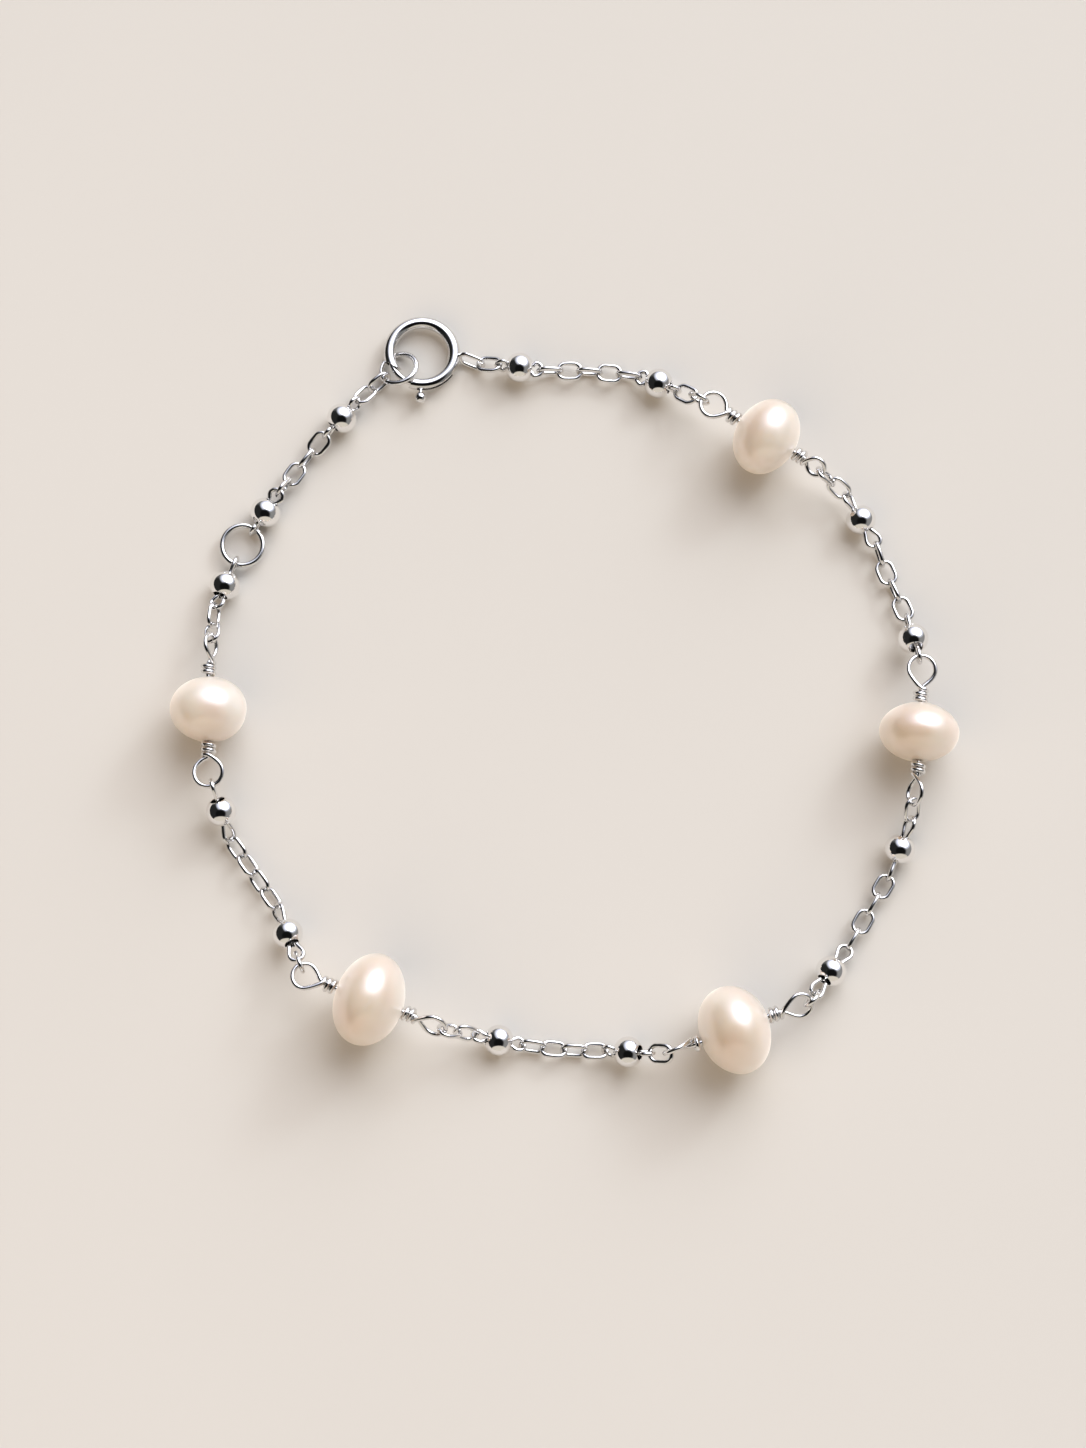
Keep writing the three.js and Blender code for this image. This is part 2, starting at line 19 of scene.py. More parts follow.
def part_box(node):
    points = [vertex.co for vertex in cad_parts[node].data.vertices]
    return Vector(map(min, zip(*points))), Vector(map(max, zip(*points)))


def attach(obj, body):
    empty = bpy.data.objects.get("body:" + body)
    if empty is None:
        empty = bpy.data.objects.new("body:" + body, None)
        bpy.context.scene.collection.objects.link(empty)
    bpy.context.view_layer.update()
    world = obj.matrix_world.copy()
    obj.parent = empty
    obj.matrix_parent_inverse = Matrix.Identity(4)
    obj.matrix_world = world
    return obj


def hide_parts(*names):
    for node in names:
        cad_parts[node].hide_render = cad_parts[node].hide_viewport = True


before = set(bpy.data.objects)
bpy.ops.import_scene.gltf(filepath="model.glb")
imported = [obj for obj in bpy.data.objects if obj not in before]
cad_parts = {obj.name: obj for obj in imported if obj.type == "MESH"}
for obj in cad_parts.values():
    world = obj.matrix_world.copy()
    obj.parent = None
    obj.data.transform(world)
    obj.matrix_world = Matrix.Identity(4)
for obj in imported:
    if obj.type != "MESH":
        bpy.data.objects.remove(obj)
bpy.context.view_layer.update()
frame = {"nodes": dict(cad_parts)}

LOG = logging.getLogger("bracelet")
MM = 0.001
UP = Vector((0, 0, 1))
ORIGIN = (0, 0, 0)
QUARTER_TURN = 90
HALF_TURN = 180
FULL_TURN = 360

Color = tuple[float, float, float]


# Sizes shared with the solids


@dataclass(frozen=True)
class LinkSizes:
    """Plain links and the longer station links that hold the balls."""

    length: float = 2.19 * MM
    width: float = 1.6 * MM
    wire: float = 0.35 * MM
    station_width: float = 1.45 * MM
    station_legs: float = 0.54 * MM


@dataclass(frozen=True)
class BallSizes:
    """Drilled silver ball."""

    diameter: float = 2.35 * MM
    length: float = 1.93 * MM
    bore: float = 1.1 * MM


@dataclass(frozen=True)
class PinSizes:
    """Wire through a pearl, its coils and the pearl's bore."""

    wire: float = 0.36 * MM
    coil_gap: float = 0.07 * MM
    coil_pitch: float = 0.4 * MM
    coil_rest: float = 0.03 * MM
    lead: float = 0.16 * MM
    pearl_bore: float = 0.62 * MM
    loop_sections: int = 8
    coil_sections: int = 8


@dataclass(frozen=True)
class ClaspSizes:
    """Tube bent into a ring, its sliding tongue and its eye, with places in degrees."""

    diameter: float = 6.0 * MM
    tube: float = 0.93 * MM
    bore: float = 0.69 * MM
    tongue: float = 0.46 * MM
    stem: float = 0.3 * MM
    trigger: float = 0.88 * MM
    trigger_rise: float = 0.6 * MM
    mouth_end: float = -101.5
    socket_end: float = -149.5
    mouth_slant: float = 4.5
    socket_slant: float = 13.5
    trigger_place: float = -87.5
    jump_ring_place: float = -141.9
    tongue_in_socket: float = 6
    tongue_behind_trigger: float = 27
    tongue_travel: float = 50
    eye_length: float = 2.3 * MM
    eye_width: float = 1.5 * MM
    eye_wire: float = 0.34 * MM
    eye_heading: float = -18
    eye_roll: float = 68

    @property
    def radius(self) -> float:
        """Radius of the tube's centre line."""
        return (self.diameter - self.tube) / 2


@dataclass(frozen=True)
class RingSizes:
    """Plain ring of round wire."""

    diameter: float
    wire: float

    @property
    def radius(self) -> float:
        """Radius of the wire's centre line."""
        return (self.diameter - self.wire) / 2


@dataclass(frozen=True)
class PinEnd:
    """One end of a pearl's wire.

    across is the loop's outer width, neck the length that it has beyond a circle, turns the
    coils behind it, and its roll is 0 where it lies flat.
    """

    across: float
    neck: float
    turns: float
    roll: float


@dataclass(frozen=True)
class PearlSizes:
    """A pearl and the two ends of its wire."""

    diameter: float
    length: float
    start: PinEnd
    end: PinEnd


@dataclass(frozen=True)
class StretchPlan:
    """Links before, between and after the balls of a stretch.

    station is a station link's length, turn rolls the run between two balls, and slides move the
    balls along their station links.
    """

    links: tuple[int, ...]
    station: float
    turn: float
    slides: tuple[float, ...]


LINK = LinkSizes()
BALL = BallSizes()
PIN = PinSizes()
CLASP = ClaspSizes()
JUMP_RING = RingSizes(3.3 * MM, 0.44 * MM)
SIZING_RING = RingSizes(3.6 * MM, 0.44 * MM)

# Gap between hooked wires, and how far neighbouring links of a stretch overlap
HOOK_GAP = 0.08 * MM
FUSE = 0.07 * MM

# Run of the chain for each unit that it falls, and height of a ball's middle off the surface
FALL_RATE = 2.1
BALL_REST = BALL.diameter / 2 + HOOK_GAP

# Search along the route: longest step as a share of it, halvings and bounds of its scale
FURTHEST_STEP = 0.2
HALVINGS = 32
SCALE_BOUNDS = (0.5, 2.0)

PEARLS = (
    PearlSizes(6.2 * MM, 4.8 * MM,
               PinEnd(2.38 * MM, 0.09 * MM, 2.25, 0), PinEnd(1.86 * MM, 0.05 * MM, 2.25, 40)),
    PearlSizes(6.2 * MM, 4.4 * MM,
               PinEnd(2.46 * MM, 0.33 * MM, 2.25, 0), PinEnd(2.3 * MM, 0.21 * MM, 2.25, 55)),
    PearlSizes(6.9 * MM, 5.2 * MM,
               PinEnd(2.2 * MM, 0.42 * MM, 2.25, 25), PinEnd(2.2 * MM, 0.22 * MM, 1.25, 75)),
    PearlSizes(7.3 * MM, 5.15 * MM,
               PinEnd(2.3 * MM, 0.36 * MM, 2.25, 50), PinEnd(2.25 * MM, 0.34 * MM, 2.25, 0)),
    PearlSizes(6.05 * MM, 4.97 * MM,
               PinEnd(2.55 * MM, 0.06 * MM, 2.25, 0), PinEnd(2.2 * MM, 0.22 * MM, 2.25, 60)),
)

STRETCHES = (
    StretchPlan((1, 5, 2), 3.95 * MM, 90, (0, 0)),
    StretchPlan((2, 4, 0), 5.15 * MM, 90, (0, 0)),
    StretchPlan((1, 4, 1), 5.45 * MM, 0, (0, 0)),
    StretchPlan((1, 4, 2), 4.4 * MM, 30, (0, 0)),
    StretchPlan((1, 4, 0), 5.5 * MM, 45, (-0.1 * MM, 0)),
    StretchPlan((2, 0), 4.95 * MM, 0, (-0.2 * MM,)),
    StretchPlan((0, 4, 2), 4.45 * MM, 90, (0, 0)),
)

# Chosen points of the bracelet's route seen from above, in millimetres
ROUTE_POINTS = (
    (-12.7, 25.6), (-6.5, 26.1), (-3.1, 25.4), (1.9, 25.4), (7.5, 24.5), (11.4, 22.2),
    (16.0, 19.4), (19.9, 17.0), (23.3, 13.9), (25.1, 9.4), (27.1, 4.4), (27.5, 1.5),
    (27.4, -4.0), (26.8, -9.5), (25.9, -12.8), (23.6, -16.9), (20.7, -21.6), (18.2, -24.4),
    (13.1, -26.5), (8.3, -28.2), (4.6, -27.9), (0.1, -27.8), (-4.9, -27.1), (-8.6, -26.3),
    (-14.1, -24.9), (-19.0, -22.8), (-20.5, -18.8), (-23.5, -14.2), (-26.0, -10.4), (-26.7, -7.5),
    (-27.2, -2.1), (-26.9, 3.5), (-26.3, 8.0), (-24.7, 11.4), (-22.9, 13.9), (-19.9, 18.2),
    (-17.1, 21.4),
)


class Body(str, Enum):
    """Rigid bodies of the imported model."""

    BRACELET = "bracelet"
    CLASP_BOLT = "clasp_bolt"


class Slot(str, Enum):
    """Material slots of the record."""

    NACRE = "nacre"
    SILVER = "silver"
    BRIGHT_SILVER = "bright_silver"


# Frames and routes


def point_on_circle(radius: float, degrees: float) -> Vector:
    """A point on a level circle about the origin.

    Args:
        radius: The circle's radius.
        degrees: Angle anticlockwise from +X.

    Returns:
        The point, at height 0.
    """
    angle = math.radians(degrees)
    return Vector((radius * math.cos(angle), radius * math.sin(angle), 0))


def frame_along(start: Vector, target: Vector, roll: float) -> Matrix:
    """A frame at start with x towards target, y level and then rolled about x.

    Args:
        start: The frame's origin.
        target: A point that x looks at.
        roll: Roll about x in degrees.

    Returns:
        The frame as a 4x4 matrix.
    """
    along = (target - start).normalized()
    side = UP.cross(along).normalized()
    side.rotate(Matrix.Rotation(math.radians(roll), 3, along))
    normal = along.cross(side)
    basis = Matrix((along, side, normal)).transposed().to_4x4()
    return Matrix.Translation(start) @ basis


def route_point(points: Sequence[Vector], share: float, closed: bool) -> Vector:
    """A point on the smooth route through some points, a centripetal Catmull-Rom curve.

    Args:
        points: The route's points.
        share: How far along the route, from 0 to 1.
        closed: Whether the route returns to its first point.

    Returns:
        The point on the route.
    """
    count = len(points)
    step = (count if closed else count - 1) * share
    index = math.floor(step)
    weight = step - index
    if not closed and index >= count - 1:
        index, weight = count - 2, 1.0
    second = points[index % count]
    third = points[(index + 1) % count]
    first = points[(index - 1) % count] if closed or index > 0 else 2 * second - third
    fourth = points[(index + 2) % count] if closed or index + 2 < count else 2 * third - second
    before, between, after = (
        math.sqrt((b - a).length) for a, b in ((first, second), (second, third), (third, fourth))
    )
    leave = (second - first) / before - (third - first) / (before + between)
    leave = (leave + (third - second) / between) * between
    arrive = (third - second) / between - (fourth - second) / (between + after)
    arrive = (arrive + (fourth - third) / after) * between
    square = 3 * (third - second) - 2 * leave - arrive
    cube = 2 * (second - third) + leave + arrive
    return second + weight * (leave + weight * (square + weight * cube))


def sampled_route(points: Sequence[Vector], steps: int, closed: bool) -> list[Vector]:
    """Even samples of the smooth route through some points.

    Args:
        points: The route's points.
        steps: Samples between two neighbouring points.
        closed: Whether the route returns to its first point.

    Returns:
        The samples, without a repeated last one on a closed route.
    """
    spans = len(points) if closed else len(points) - 1
    samples = spans * steps
    last = samples if closed else samples + 1
    return [route_point(points, i / samples, closed) for i in range(last)]


@dataclass(frozen=True)
class HookLoop:
    """A loop that chain can hook: its wire's centre line is a circle about the frame."""

    frame: Matrix
    radius: float
    wire: float
    roll: float

    @property
    def centre(self) -> Vector:
        """Middle of the loop."""
        return self.frame.translation.copy()

    def hook_point(self, pose: Matrix, target: Vector) -> Vector:
        """The point on the loop's wire that is pulled towards a target.

        Args:
            pose: Pose of the piece that carries the loop.
            target: The point that pulls.

        Returns:
            The point, on the wire's centre line.
        """
        placed = pose @ self.frame
        pull = placed.inverted() @ target
        pull.z = 0
        return placed @ (pull.normalized() * self.radius)


def hook_loop(centre: Vector, heading: float, roll: float, radius: float, wire: float) -> HookLoop:
    """A hook loop about a centre.

    Args:
        centre: Middle of the loop.
        heading: Direction of its x axis seen from above, in degrees.
        roll: Roll about that axis in degrees.
        radius: Radius of the wire's centre line.
        wire: Wire diameter.

    Returns:
        The loop.
    """
    target = centre + point_on_circle(1, heading)
    return HookLoop(frame_along(centre, target, roll), radius, wire, roll)


@dataclass
class Carrier:
    """A piece that the chain hooks at both ends, in a frame of its own on the surface."""

    start: HookLoop
    end: HookLoop
    high: bool


# Layout of the pearls, the clasp and the rings


def coil_length(end: PinEnd) -> float:
    """Length from a pearl's face to the far end of a coil."""
    return PIN.lead + end.turns * PIN.coil_pitch + PIN.wire / 2 + PIN.coil_rest


def pin_loop_radius(end: PinEnd) -> float:
    """Radius of the centre line of a pin's loop."""
    return (end.across - PIN.wire) / 2


def pin_loop_reach(pearl: PearlSizes, end: PinEnd) -> float:
    """Distance from a pearl's middle to the middle of a loop of its wire."""
    return pearl.length / 2 + coil_length(end) + pin_loop_radius(end) + end.neck


def pearl_carrier(pearl: PearlSizes) -> Carrier:
    """The two loops of a pearl's wire, about the point on the surface under the pearl.

    Args:
        pearl: The pearl's sizes.

    Returns:
        The carrier.
    """
    height = pearl.diameter / 2
    start = Vector((-pin_loop_reach(pearl, pearl.start), 0, height))
    end = Vector((pin_loop_reach(pearl, pearl.end), 0, height))
    return Carrier(
        hook_loop(start, 0, -pearl.start.roll, pin_loop_radius(pearl.start), PIN.wire),
        hook_loop(end, 0, pearl.end.roll, pin_loop_radius(pearl.end), PIN.wire),
        True,
    )


def sizing_ring_carrier() -> Carrier:
    """The sizing ring, level at the height of the station links hooked in it.

    Returns:
        The carrier, with the same loop at both ends.
    """
    centre = Vector((0, 0, LINK.station_width / 2))
    loop = hook_loop(centre, 0, 0, SIZING_RING.radius, SIZING_RING.wire)
    return Carrier(loop, loop, False)


class ClaspLayout:
    """How the clasp leans on the jump ring with its eye on the surface."""

    def __init__(self) -> None:
        """Work out the lean, the eye's frame and the jump ring's frame."""
        self.cross_under = (CLASP.tube + JUMP_RING.wire) / 2 + HOOK_GAP
        self.cross_over = (CLASP.tongue + JUMP_RING.wire) / 2 + HOOK_GAP
        roll = math.asin((self.cross_under + self.cross_over) / 2 / JUMP_RING.radius)
        self.ring_roll = math.degrees(roll)
        half_chord = JUMP_RING.radius * math.cos(roll)
        self.ring_reach = math.sqrt(CLASP.radius ** 2 - half_chord ** 2)
        self.eye_frame = self._eye_frame()
        self.lean = self._lean()

    def _eye_frame(self) -> Matrix:
        """Frame of the eye, which starts in the tube's outer wall with x along it."""
        base = Vector((CLASP.radius + CLASP.tube / 2, 0, 0))
        return frame_along(base, base + point_on_circle(1, CLASP.eye_heading), CLASP.eye_roll)

    def _lean(self) -> Matrix:
        """Pose of the leaning clasp about the middle of its ring.

        Returns:
            The pose, with the eye and the jump ring's wire just on the surface.
        """
        eye_bend = (CLASP.eye_width - CLASP.eye_wire) / 2
        eye_drop = eye_bend * math.sin(math.radians(CLASP.eye_roll)) + CLASP.eye_wire / 2
        eye_middle = self.eye_frame @ Vector((CLASP.eye_length / 2, 0, 0))
        ring_side = point_on_circle(1, CLASP.jump_ring_place)
        eye_run = eye_middle.dot(ring_side)
        rise = JUMP_RING.wire / 2 + self.cross_under - eye_drop
        lean = math.asin(rise / (self.ring_reach - eye_run))
        height = eye_drop - eye_run * math.sin(lean)
        axis = point_on_circle(1, CLASP.jump_ring_place - QUARTER_TURN)
        return Matrix.Translation((0, 0, height)) @ Matrix.Rotation(lean, 4, axis)

    def jump_ring_loop(self) -> HookLoop:
        """The jump ring, which crosses under the tube and over the tongue.

        Returns:
            Its loop in the clasp's frame on the surface.
        """
        centre = self.lean @ point_on_circle(self.ring_reach, CLASP.jump_ring_place)
        centre.z += (self.cross_over - self.cross_under) / 2
        heading = CLASP.jump_ring_place + HALF_TURN
        return hook_loop(centre, heading, -self.ring_roll, JUMP_RING.radius, JUMP_RING.wire)

    def eye_loop(self) -> HookLoop:
        """The far bend of the eye, where the chain begins.

        Returns:
            Its loop in the clasp's frame on the surface.
        """
        bend = (CLASP.eye_width - CLASP.eye_wire) / 2
        centre = Matrix.Translation((CLASP.eye_length - CLASP.eye_wire - bend, 0, 0))
        placed = self.lean @ self.eye_frame @ centre
        return HookLoop(placed, bend, CLASP.eye_wire, CLASP.eye_roll)

    def carrier(self) -> Carrier:
        """The clasp as a carrier, from its jump ring to its eye."""
        return Carrier(self.jump_ring_loop(), self.eye_loop(), False)


# Layout of the chain


@dataclass
class ChainPiece:
    """A plain link, or a station link if it has a slide for its ball."""

    length: float
    rolls: tuple[float, float]
    slide: float | None = None
    before: float = 0.0
    after: float = 0.0

    @property
    def span(self) -> float:
        """Distance between the contacts at its two ends."""
        return self.length - LINK.wire - self.before - self.after

    def place(self, start: Vector, end: Vector, shift: float = 0.0) -> Matrix:
        """Frame about the piece's middle, x along it.

        Args:
            start: Contact at its first end.
            end: Contact at its second end.
            shift: How far along it the frame is moved from its middle.

        Returns:
            The frame.
        """
        along = (end - start).normalized()
        middle = start + along * ((self.span + self.after - self.before) / 2 + shift)
        return frame_along(middle, middle + along, 0)


def nearest_roll(roll: float, other: float) -> float:
    """The same roll of a two-sided loop, at most a quarter turn from another."""
    return roll + HALF_TURN * math.floor((other - roll) / HALF_TURN + 0.5)


def stretch_pieces(plan: StretchPlan, start_roll: float, end_roll: float) -> list[ChainPiece]:
    """The pieces of a stretch in order, each with the roll of its two ends.

    Args:
        plan: How many links the stretch has.
        start_roll: Roll of the loop that it starts from.
        end_roll: Roll of the loop that it ends at.

    Returns:
        The pieces.
    """
    last_run = len(plan.links) - 1
    first_rolls = []
    for run, count in enumerate(plan.links):
        if run == 0:
            first_rolls.append(start_roll + QUARTER_TURN)
        elif run == last_run:
            first_rolls.append(end_roll + QUARTER_TURN * count)
        else:
            first_rolls.append(plan.turn)
    pieces = []
    roll = start_roll
    for run, count in enumerate(plan.links):
        for i in range(count):
            roll = first_rolls[run] + QUARTER_TURN * i
            pieces.append(ChainPiece(LINK.length, (roll, roll)))
        if run < last_run:
            following = first_rolls[run + 1] if plan.links[run + 1] > 0 else end_roll
            first = roll + QUARTER_TURN
            rolls = (first, nearest_roll(following + QUARTER_TURN, first))
            pieces.append(ChainPiece(plan.station, rolls, plan.slides[run]))
    return pieces


def measure_pieces(pieces: list[ChainPiece], start: HookLoop, end: HookLoop) -> None:
    """Set how far each piece reaches past its contacts.

    Args:
        pieces: The stretch's pieces.
        start: The loop that the first one hooks.
        end: The loop that the last one hooks.
    """
    joined = (LINK.wire - FUSE) / 2
    for piece in pieces:
        piece.before = piece.after = joined
    pieces[0].before = (LINK.wire + start.wire) / 2 + HOOK_GAP
    pieces[-1].after = (LINK.wire + end.wire) / 2 + HOOK_GAP


def fallen_height(high: bool, height: float, distance: float) -> float:
    """Height of the chain at a distance from the loop that it falls from.

    Args:
        high: Whether that loop is held up by a pearl.
        height: The loop's height.
        distance: Distance along the chain.

    Returns:
        The height, which is that of a link on the surface once the chain has fallen.
    """
    rest = LINK.width / 2
    drop = height - rest if high else 0.0
    share = max(0.0, 1 - distance / (FALL_RATE * drop)) if drop > 0 else 0.0
    return rest + drop * share ** 2


def rest_ball(piece: ChainPiece, index: int, heights: list[float]) -> None:
    """Lift the free ends of a station link until its ball clears the surface.

    Args:
        piece: The piece, which is left alone if it holds no ball.
        index: Its number in the stretch.
        heights: Heights of the stretch's contacts, which are changed.
    """
    if piece.slide is None:
        return
    share = 0.5 + piece.slide / piece.span
    height = heights[index] * (1 - share) + heights[index + 1] * share
    lift = max(0.0, BALL_REST - height)
    start_held = index == 0
    end_held = index == len(heights) - 2
    if not start_held:
        heights[index] += lift / (1 - share) if end_held else lift
    if not end_held:
        heights[index + 1] += lift / share if start_held else lift


def contact_heights(pieces: list[ChainPiece], start: Carrier, end: Carrier) -> list[float]:
    """Heights of the contacts in a stretch, which falls from the pearls at its ends.

    Args:
        pieces: The stretch's pieces, measured.
        start: The carrier before it.
        end: The carrier after it.

    Returns:
        A height for each contact, from the first loop to the last.
    """
    ends = (start.end.centre.z, end.start.centre.z)
    total = sum(piece.span for piece in pieces)
    heights = [ends[0]]
    distance = 0.0
    for piece in pieces[:-1]:
        distance += piece.span
        heights.append(max(
            fallen_height(start.high, ends[0], distance),
            fallen_height(end.high, ends[1], total - distance),
        ))
    heights.append(ends[1])
    for index, piece in enumerate(pieces):
        rest_ball(piece, index, heights)
    return heights


def advance(place: float, target: float, distance_at: Callable[[float], float]) -> float:
    """The first place after another one where a distance has grown to its target.

    Args:
        place: Where the search starts.
        target: The distance wanted.
        distance_at: The distance at a place.

    Returns:
        The place.
    """
    near = place
    far = place + FURTHEST_STEP
    for _ in range(HALVINGS):
        middle = (near + far) / 2
        if distance_at(middle) < target:
            near = middle
        else:
            far = middle
    return near


def carrier_pose(carrier: Carrier, start: Vector, end: Vector) -> Matrix:
    """A carrier's pose on the surface that stands its two loops on two places.

    Args:
        carrier: The carrier.
        start: Place of its first loop.
        end: Place that its second loop looks at.

    Returns:
        The pose.
    """
    first = carrier.start.centre
    shank = carrier.end.centre - first
    turn = math.atan2(end.y - start.y, end.x - start.x) - math.atan2(shank.y, shank.x)
    rotation = Matrix.Rotation(turn, 4, "Z")
    moved = rotation @ first
    return Matrix.Translation((start.x - moved.x, start.y - moved.y, 0)) @ rotation


@dataclass
class LaidStretch:
    """A stretch's pieces and the contacts between them."""

    pieces: list[ChainPiece]
    contacts: list[Vector]

    def place(self, index: int, shift: float = 0.0) -> Matrix:
        """Frame of one piece, moved along it by a shift."""
        return self.pieces[index].place(self.contacts[index], self.contacts[index + 1], shift)


class Walk:
    """Carriers and stretches laid one after another along the route at one scale."""

    def __init__(self, carriers: list[Carrier], scale: float) -> None:
        """Lay everything.

        Args:
            carriers: The clasp, the pearls and the sizing ring in order.
            scale: Scale of the route.
        """
        self.carriers = carriers
        self.route = [Vector((x * MM, y * MM, 0)) * scale for x, y in ROUTE_POINTS]
        self.place = 0.0
        self.start_place = 0.0
        self.poses = [self.seat(carriers[0], 0.0)]
        self.stretches = [self.lay(plan, i) for i, plan in enumerate(STRETCHES)]

    def at(self, place: float, height: float = 0.0) -> Vector:
        """A point of the route at a height.

        Args:
            place: How far round the route, in turns.
            height: The point's height.

        Returns:
            The point.
        """
        point = route_point(self.route, place % 1, True)
        point.z = height
        return point

    def seat(self, carrier: Carrier, place: float) -> Matrix:
        """Seat a carrier with its first loop at a place, and go on from its second loop.

        Args:
            carrier: The carrier.
            place: How far round the route its first loop is.

        Returns:
            The carrier's pose.
        """
        start = self.at(place)
        shank = carrier.end.centre - carrier.start.centre
        reach = math.hypot(shank.x, shank.y)
        self.place = advance(place, reach, lambda spot: (self.at(spot) - start).length)
        return carrier_pose(carrier, start, self.at(self.place))

    def lay(self, plan: StretchPlan, index: int) -> LaidStretch:
        """Lay a stretch from one carrier to the next and seat that carrier.

        Args:
            plan: The stretch's links.
            index: Number of the carrier before it.

        Returns:
            The stretch with its contacts.
        """
        start = self.carriers[index]
        end = self.carriers[(index + 1) % len(self.carriers)]
        pose = self.poses[index]
        pieces = stretch_pieces(plan, start.end.roll, end.start.roll)
        measure_pieces(pieces, start.end, end.start)
        heights = contact_heights(pieces, start, end)
        contacts: list[Vector] = []
        for i, piece in enumerate(pieces[:-1]):
            height = heights[i + 1]

            def source(point: Vector, step: int = i) -> Vector:
                """The contact before a point."""
                return start.end.hook_point(pose, point) if step == 0 else contacts[step]

            def reach(place: float, top: float = height) -> float:
                """Distance from the contact before to a place."""
                point = self.at(place, top)
                return (source(point) - point).length

            self.place = advance(self.place, piece.span, reach)
            point = self.at(self.place, height)
            if i == 0:
                contacts.append(source(point))
            contacts.append(point)
        last = contacts[-1]
        level = Vector((last.x, last.y, 0))

        def last_reach(place: float) -> float:
            """Distance from the last contact to the next carrier, once it is clear of it."""
            if (self.at(place) - level).length <= end.start.radius:
                return 0.0
            return (end.start.hook_point(self.seat(end, place), last) - last).length

        self.start_place = advance(self.place, pieces[-1].span, last_reach)
        self.poses.append(self.seat(end, self.start_place))
        contacts.append(end.start.hook_point(self.poses[-1], last))
        return LaidStretch(pieces, contacts)


class BraceletLayout:
    """The closed walk, centred on the origin as the solids are."""

    def __init__(self) -> None:
        """Find the scale at which the walk ends where it began."""
        self.clasp = ClaspLayout()
        carriers = [self.clasp.carrier()]
        carriers += [pearl_carrier(pearl) for pearl in PEARLS]
        carriers.append(sizing_ring_carrier())
        small, large = SCALE_BOUNDS
        for _ in range(HALVINGS):
            middle = (small + large) / 2
            if Walk(carriers, middle).start_place > 1:
                small = middle
            else:
                large = middle
        self.walk = Walk(carriers, large)
        self.shift = self._shift()

    def _shift(self) -> Matrix:
        """The move that brings the first pearl onto its solid, and all else with it.

        Returns:
            The move, which is level.
        """
        low, high = (Vector(corner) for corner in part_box("pearl_1"))
        spot = self.walk.poses[1].translation
        middle = (low + high) / 2
        return Matrix.Translation((middle.x - spot.x, middle.y - spot.y, 0))

    def carrier_pose(self, index: int) -> Matrix:
        """Pose of a carrier in the row frame."""
        return self.shift @ self.walk.poses[index]

    def piece_frame(self, stretch: int, index: int, shift: float = 0.0) -> Matrix:
        """Frame of a piece of chain in the row frame."""
        return self.shift @ self.walk.stretches[stretch].place(index, shift)


# Modelling tools

# Angle in degrees below which shading runs on, and distance below which points are merged
SMOOTH_ANGLE = 40
MERGE_DISTANCE = 1e-7

# Sides of a wire's section, faces round and across an oval loop, steps round a bore's rim
WIRE_SIDES = 12
OVAL_SECTIONS = 32
OVAL_SIDES = 14
RIM_STEPS = 6


class Combining(str, Enum):
    """Ways to make one solid of two."""

    UNION = "UNION"
    DIFFERENCE = "DIFFERENCE"


def deselect() -> None:
    """Leave edit mode and deselect every object."""
    if bpy.context.object is not None and bpy.context.object.mode != "OBJECT":
        bpy.ops.object.mode_set(mode="OBJECT")
    bpy.ops.object.select_all(action="DESELECT")


def pick(*objects: bpy.types.Object) -> None:
    """Select some objects alone.

    Args:
        objects: The objects, of which the first is made active.
    """
    deselect()
    for obj in objects:
        obj.select_set(True)
    bpy.context.view_layer.objects.active = objects[0]


def named(name: str) -> bpy.types.Object:
    """Name the object that was just made.

    Args:
        name: Name for it and its data.

    Returns:
        The object.
    """
    obj = bpy.context.object
    obj.name = name
    obj.data.name = name
    return obj


def select_vertices(obj: bpy.types.Object, test: Callable[[Vector], bool]) -> None:
    """Select the vertices of the mesh in edit mode that pass a test.

    Args:
        obj: The object in edit mode.
        test: Says for a vertex's place whether it is selected.
    """
    mesh = bmesh.from_edit_mesh(obj.data)
    for vertex in mesh.verts:
        vertex.select = test(vertex.co)
    mesh.select_flush_mode()
    bmesh.update_edit_mesh(obj.data)


def close_up() -> None:
    """Merge doubled points of the mesh in edit mode, turn its faces out and leave it."""
    bpy.ops.mesh.select_all(action="SELECT")
    bpy.ops.mesh.remove_doubles(threshold=MERGE_DISTANCE)
    bpy.ops.mesh.normals_make_consistent(inside=False)
    bpy.ops.object.mode_set(mode="OBJECT")


def put(obj: bpy.types.Object, place: Matrix) -> bpy.types.Object:
    """Move a mesh to its place and leave its object at the origin.

    Args:
        obj: The object, at the origin.
        place: Its pose.

    Returns:
        The same object.
    """
    pick(obj)
    obj.matrix_world = place
    bpy.ops.object.transform_apply(location=True, rotation=True, scale=True)
    return obj


def copied(obj: bpy.types.Object, name: str) -> bpy.types.Object:
    """Copy an object together with its mesh.

    Args:
        obj: The object.
        name: Name of the copy.

    Returns:
        The copy.
    """
    pick(obj)
    bpy.ops.object.duplicate(linked=False)
    return named(name)


def join(name: str, parts: Sequence[bpy.types.Object]) -> bpy.types.Object:
    """Join objects into one.

    Args:
        name: Name of the joined object.
        parts: The objects.

    Returns:
        The joined object.
    """
    pick(*parts)
    if len(parts) > 1:
        bpy.ops.object.join()
    return named(name)


def combine(obj: bpy.types.Object, tool: bpy.types.Object, way: Combining) -> None:
    """Join or cut a solid by another one, which is used up.

    Args:
        obj: The solid that is kept.
        tool: The other solid.
        way: Whether the other solid is added or taken away.
    """
    pick(obj)
    modifier = obj.modifiers.new(tool.name, "BOOLEAN")
    modifier.operation = way.value
    modifier.solver = "EXACT"
    modifier.object = tool
    bpy.ops.object.modifier_apply(modifier=modifier.name)
    bpy.data.objects.remove(tool, do_unlink=True)


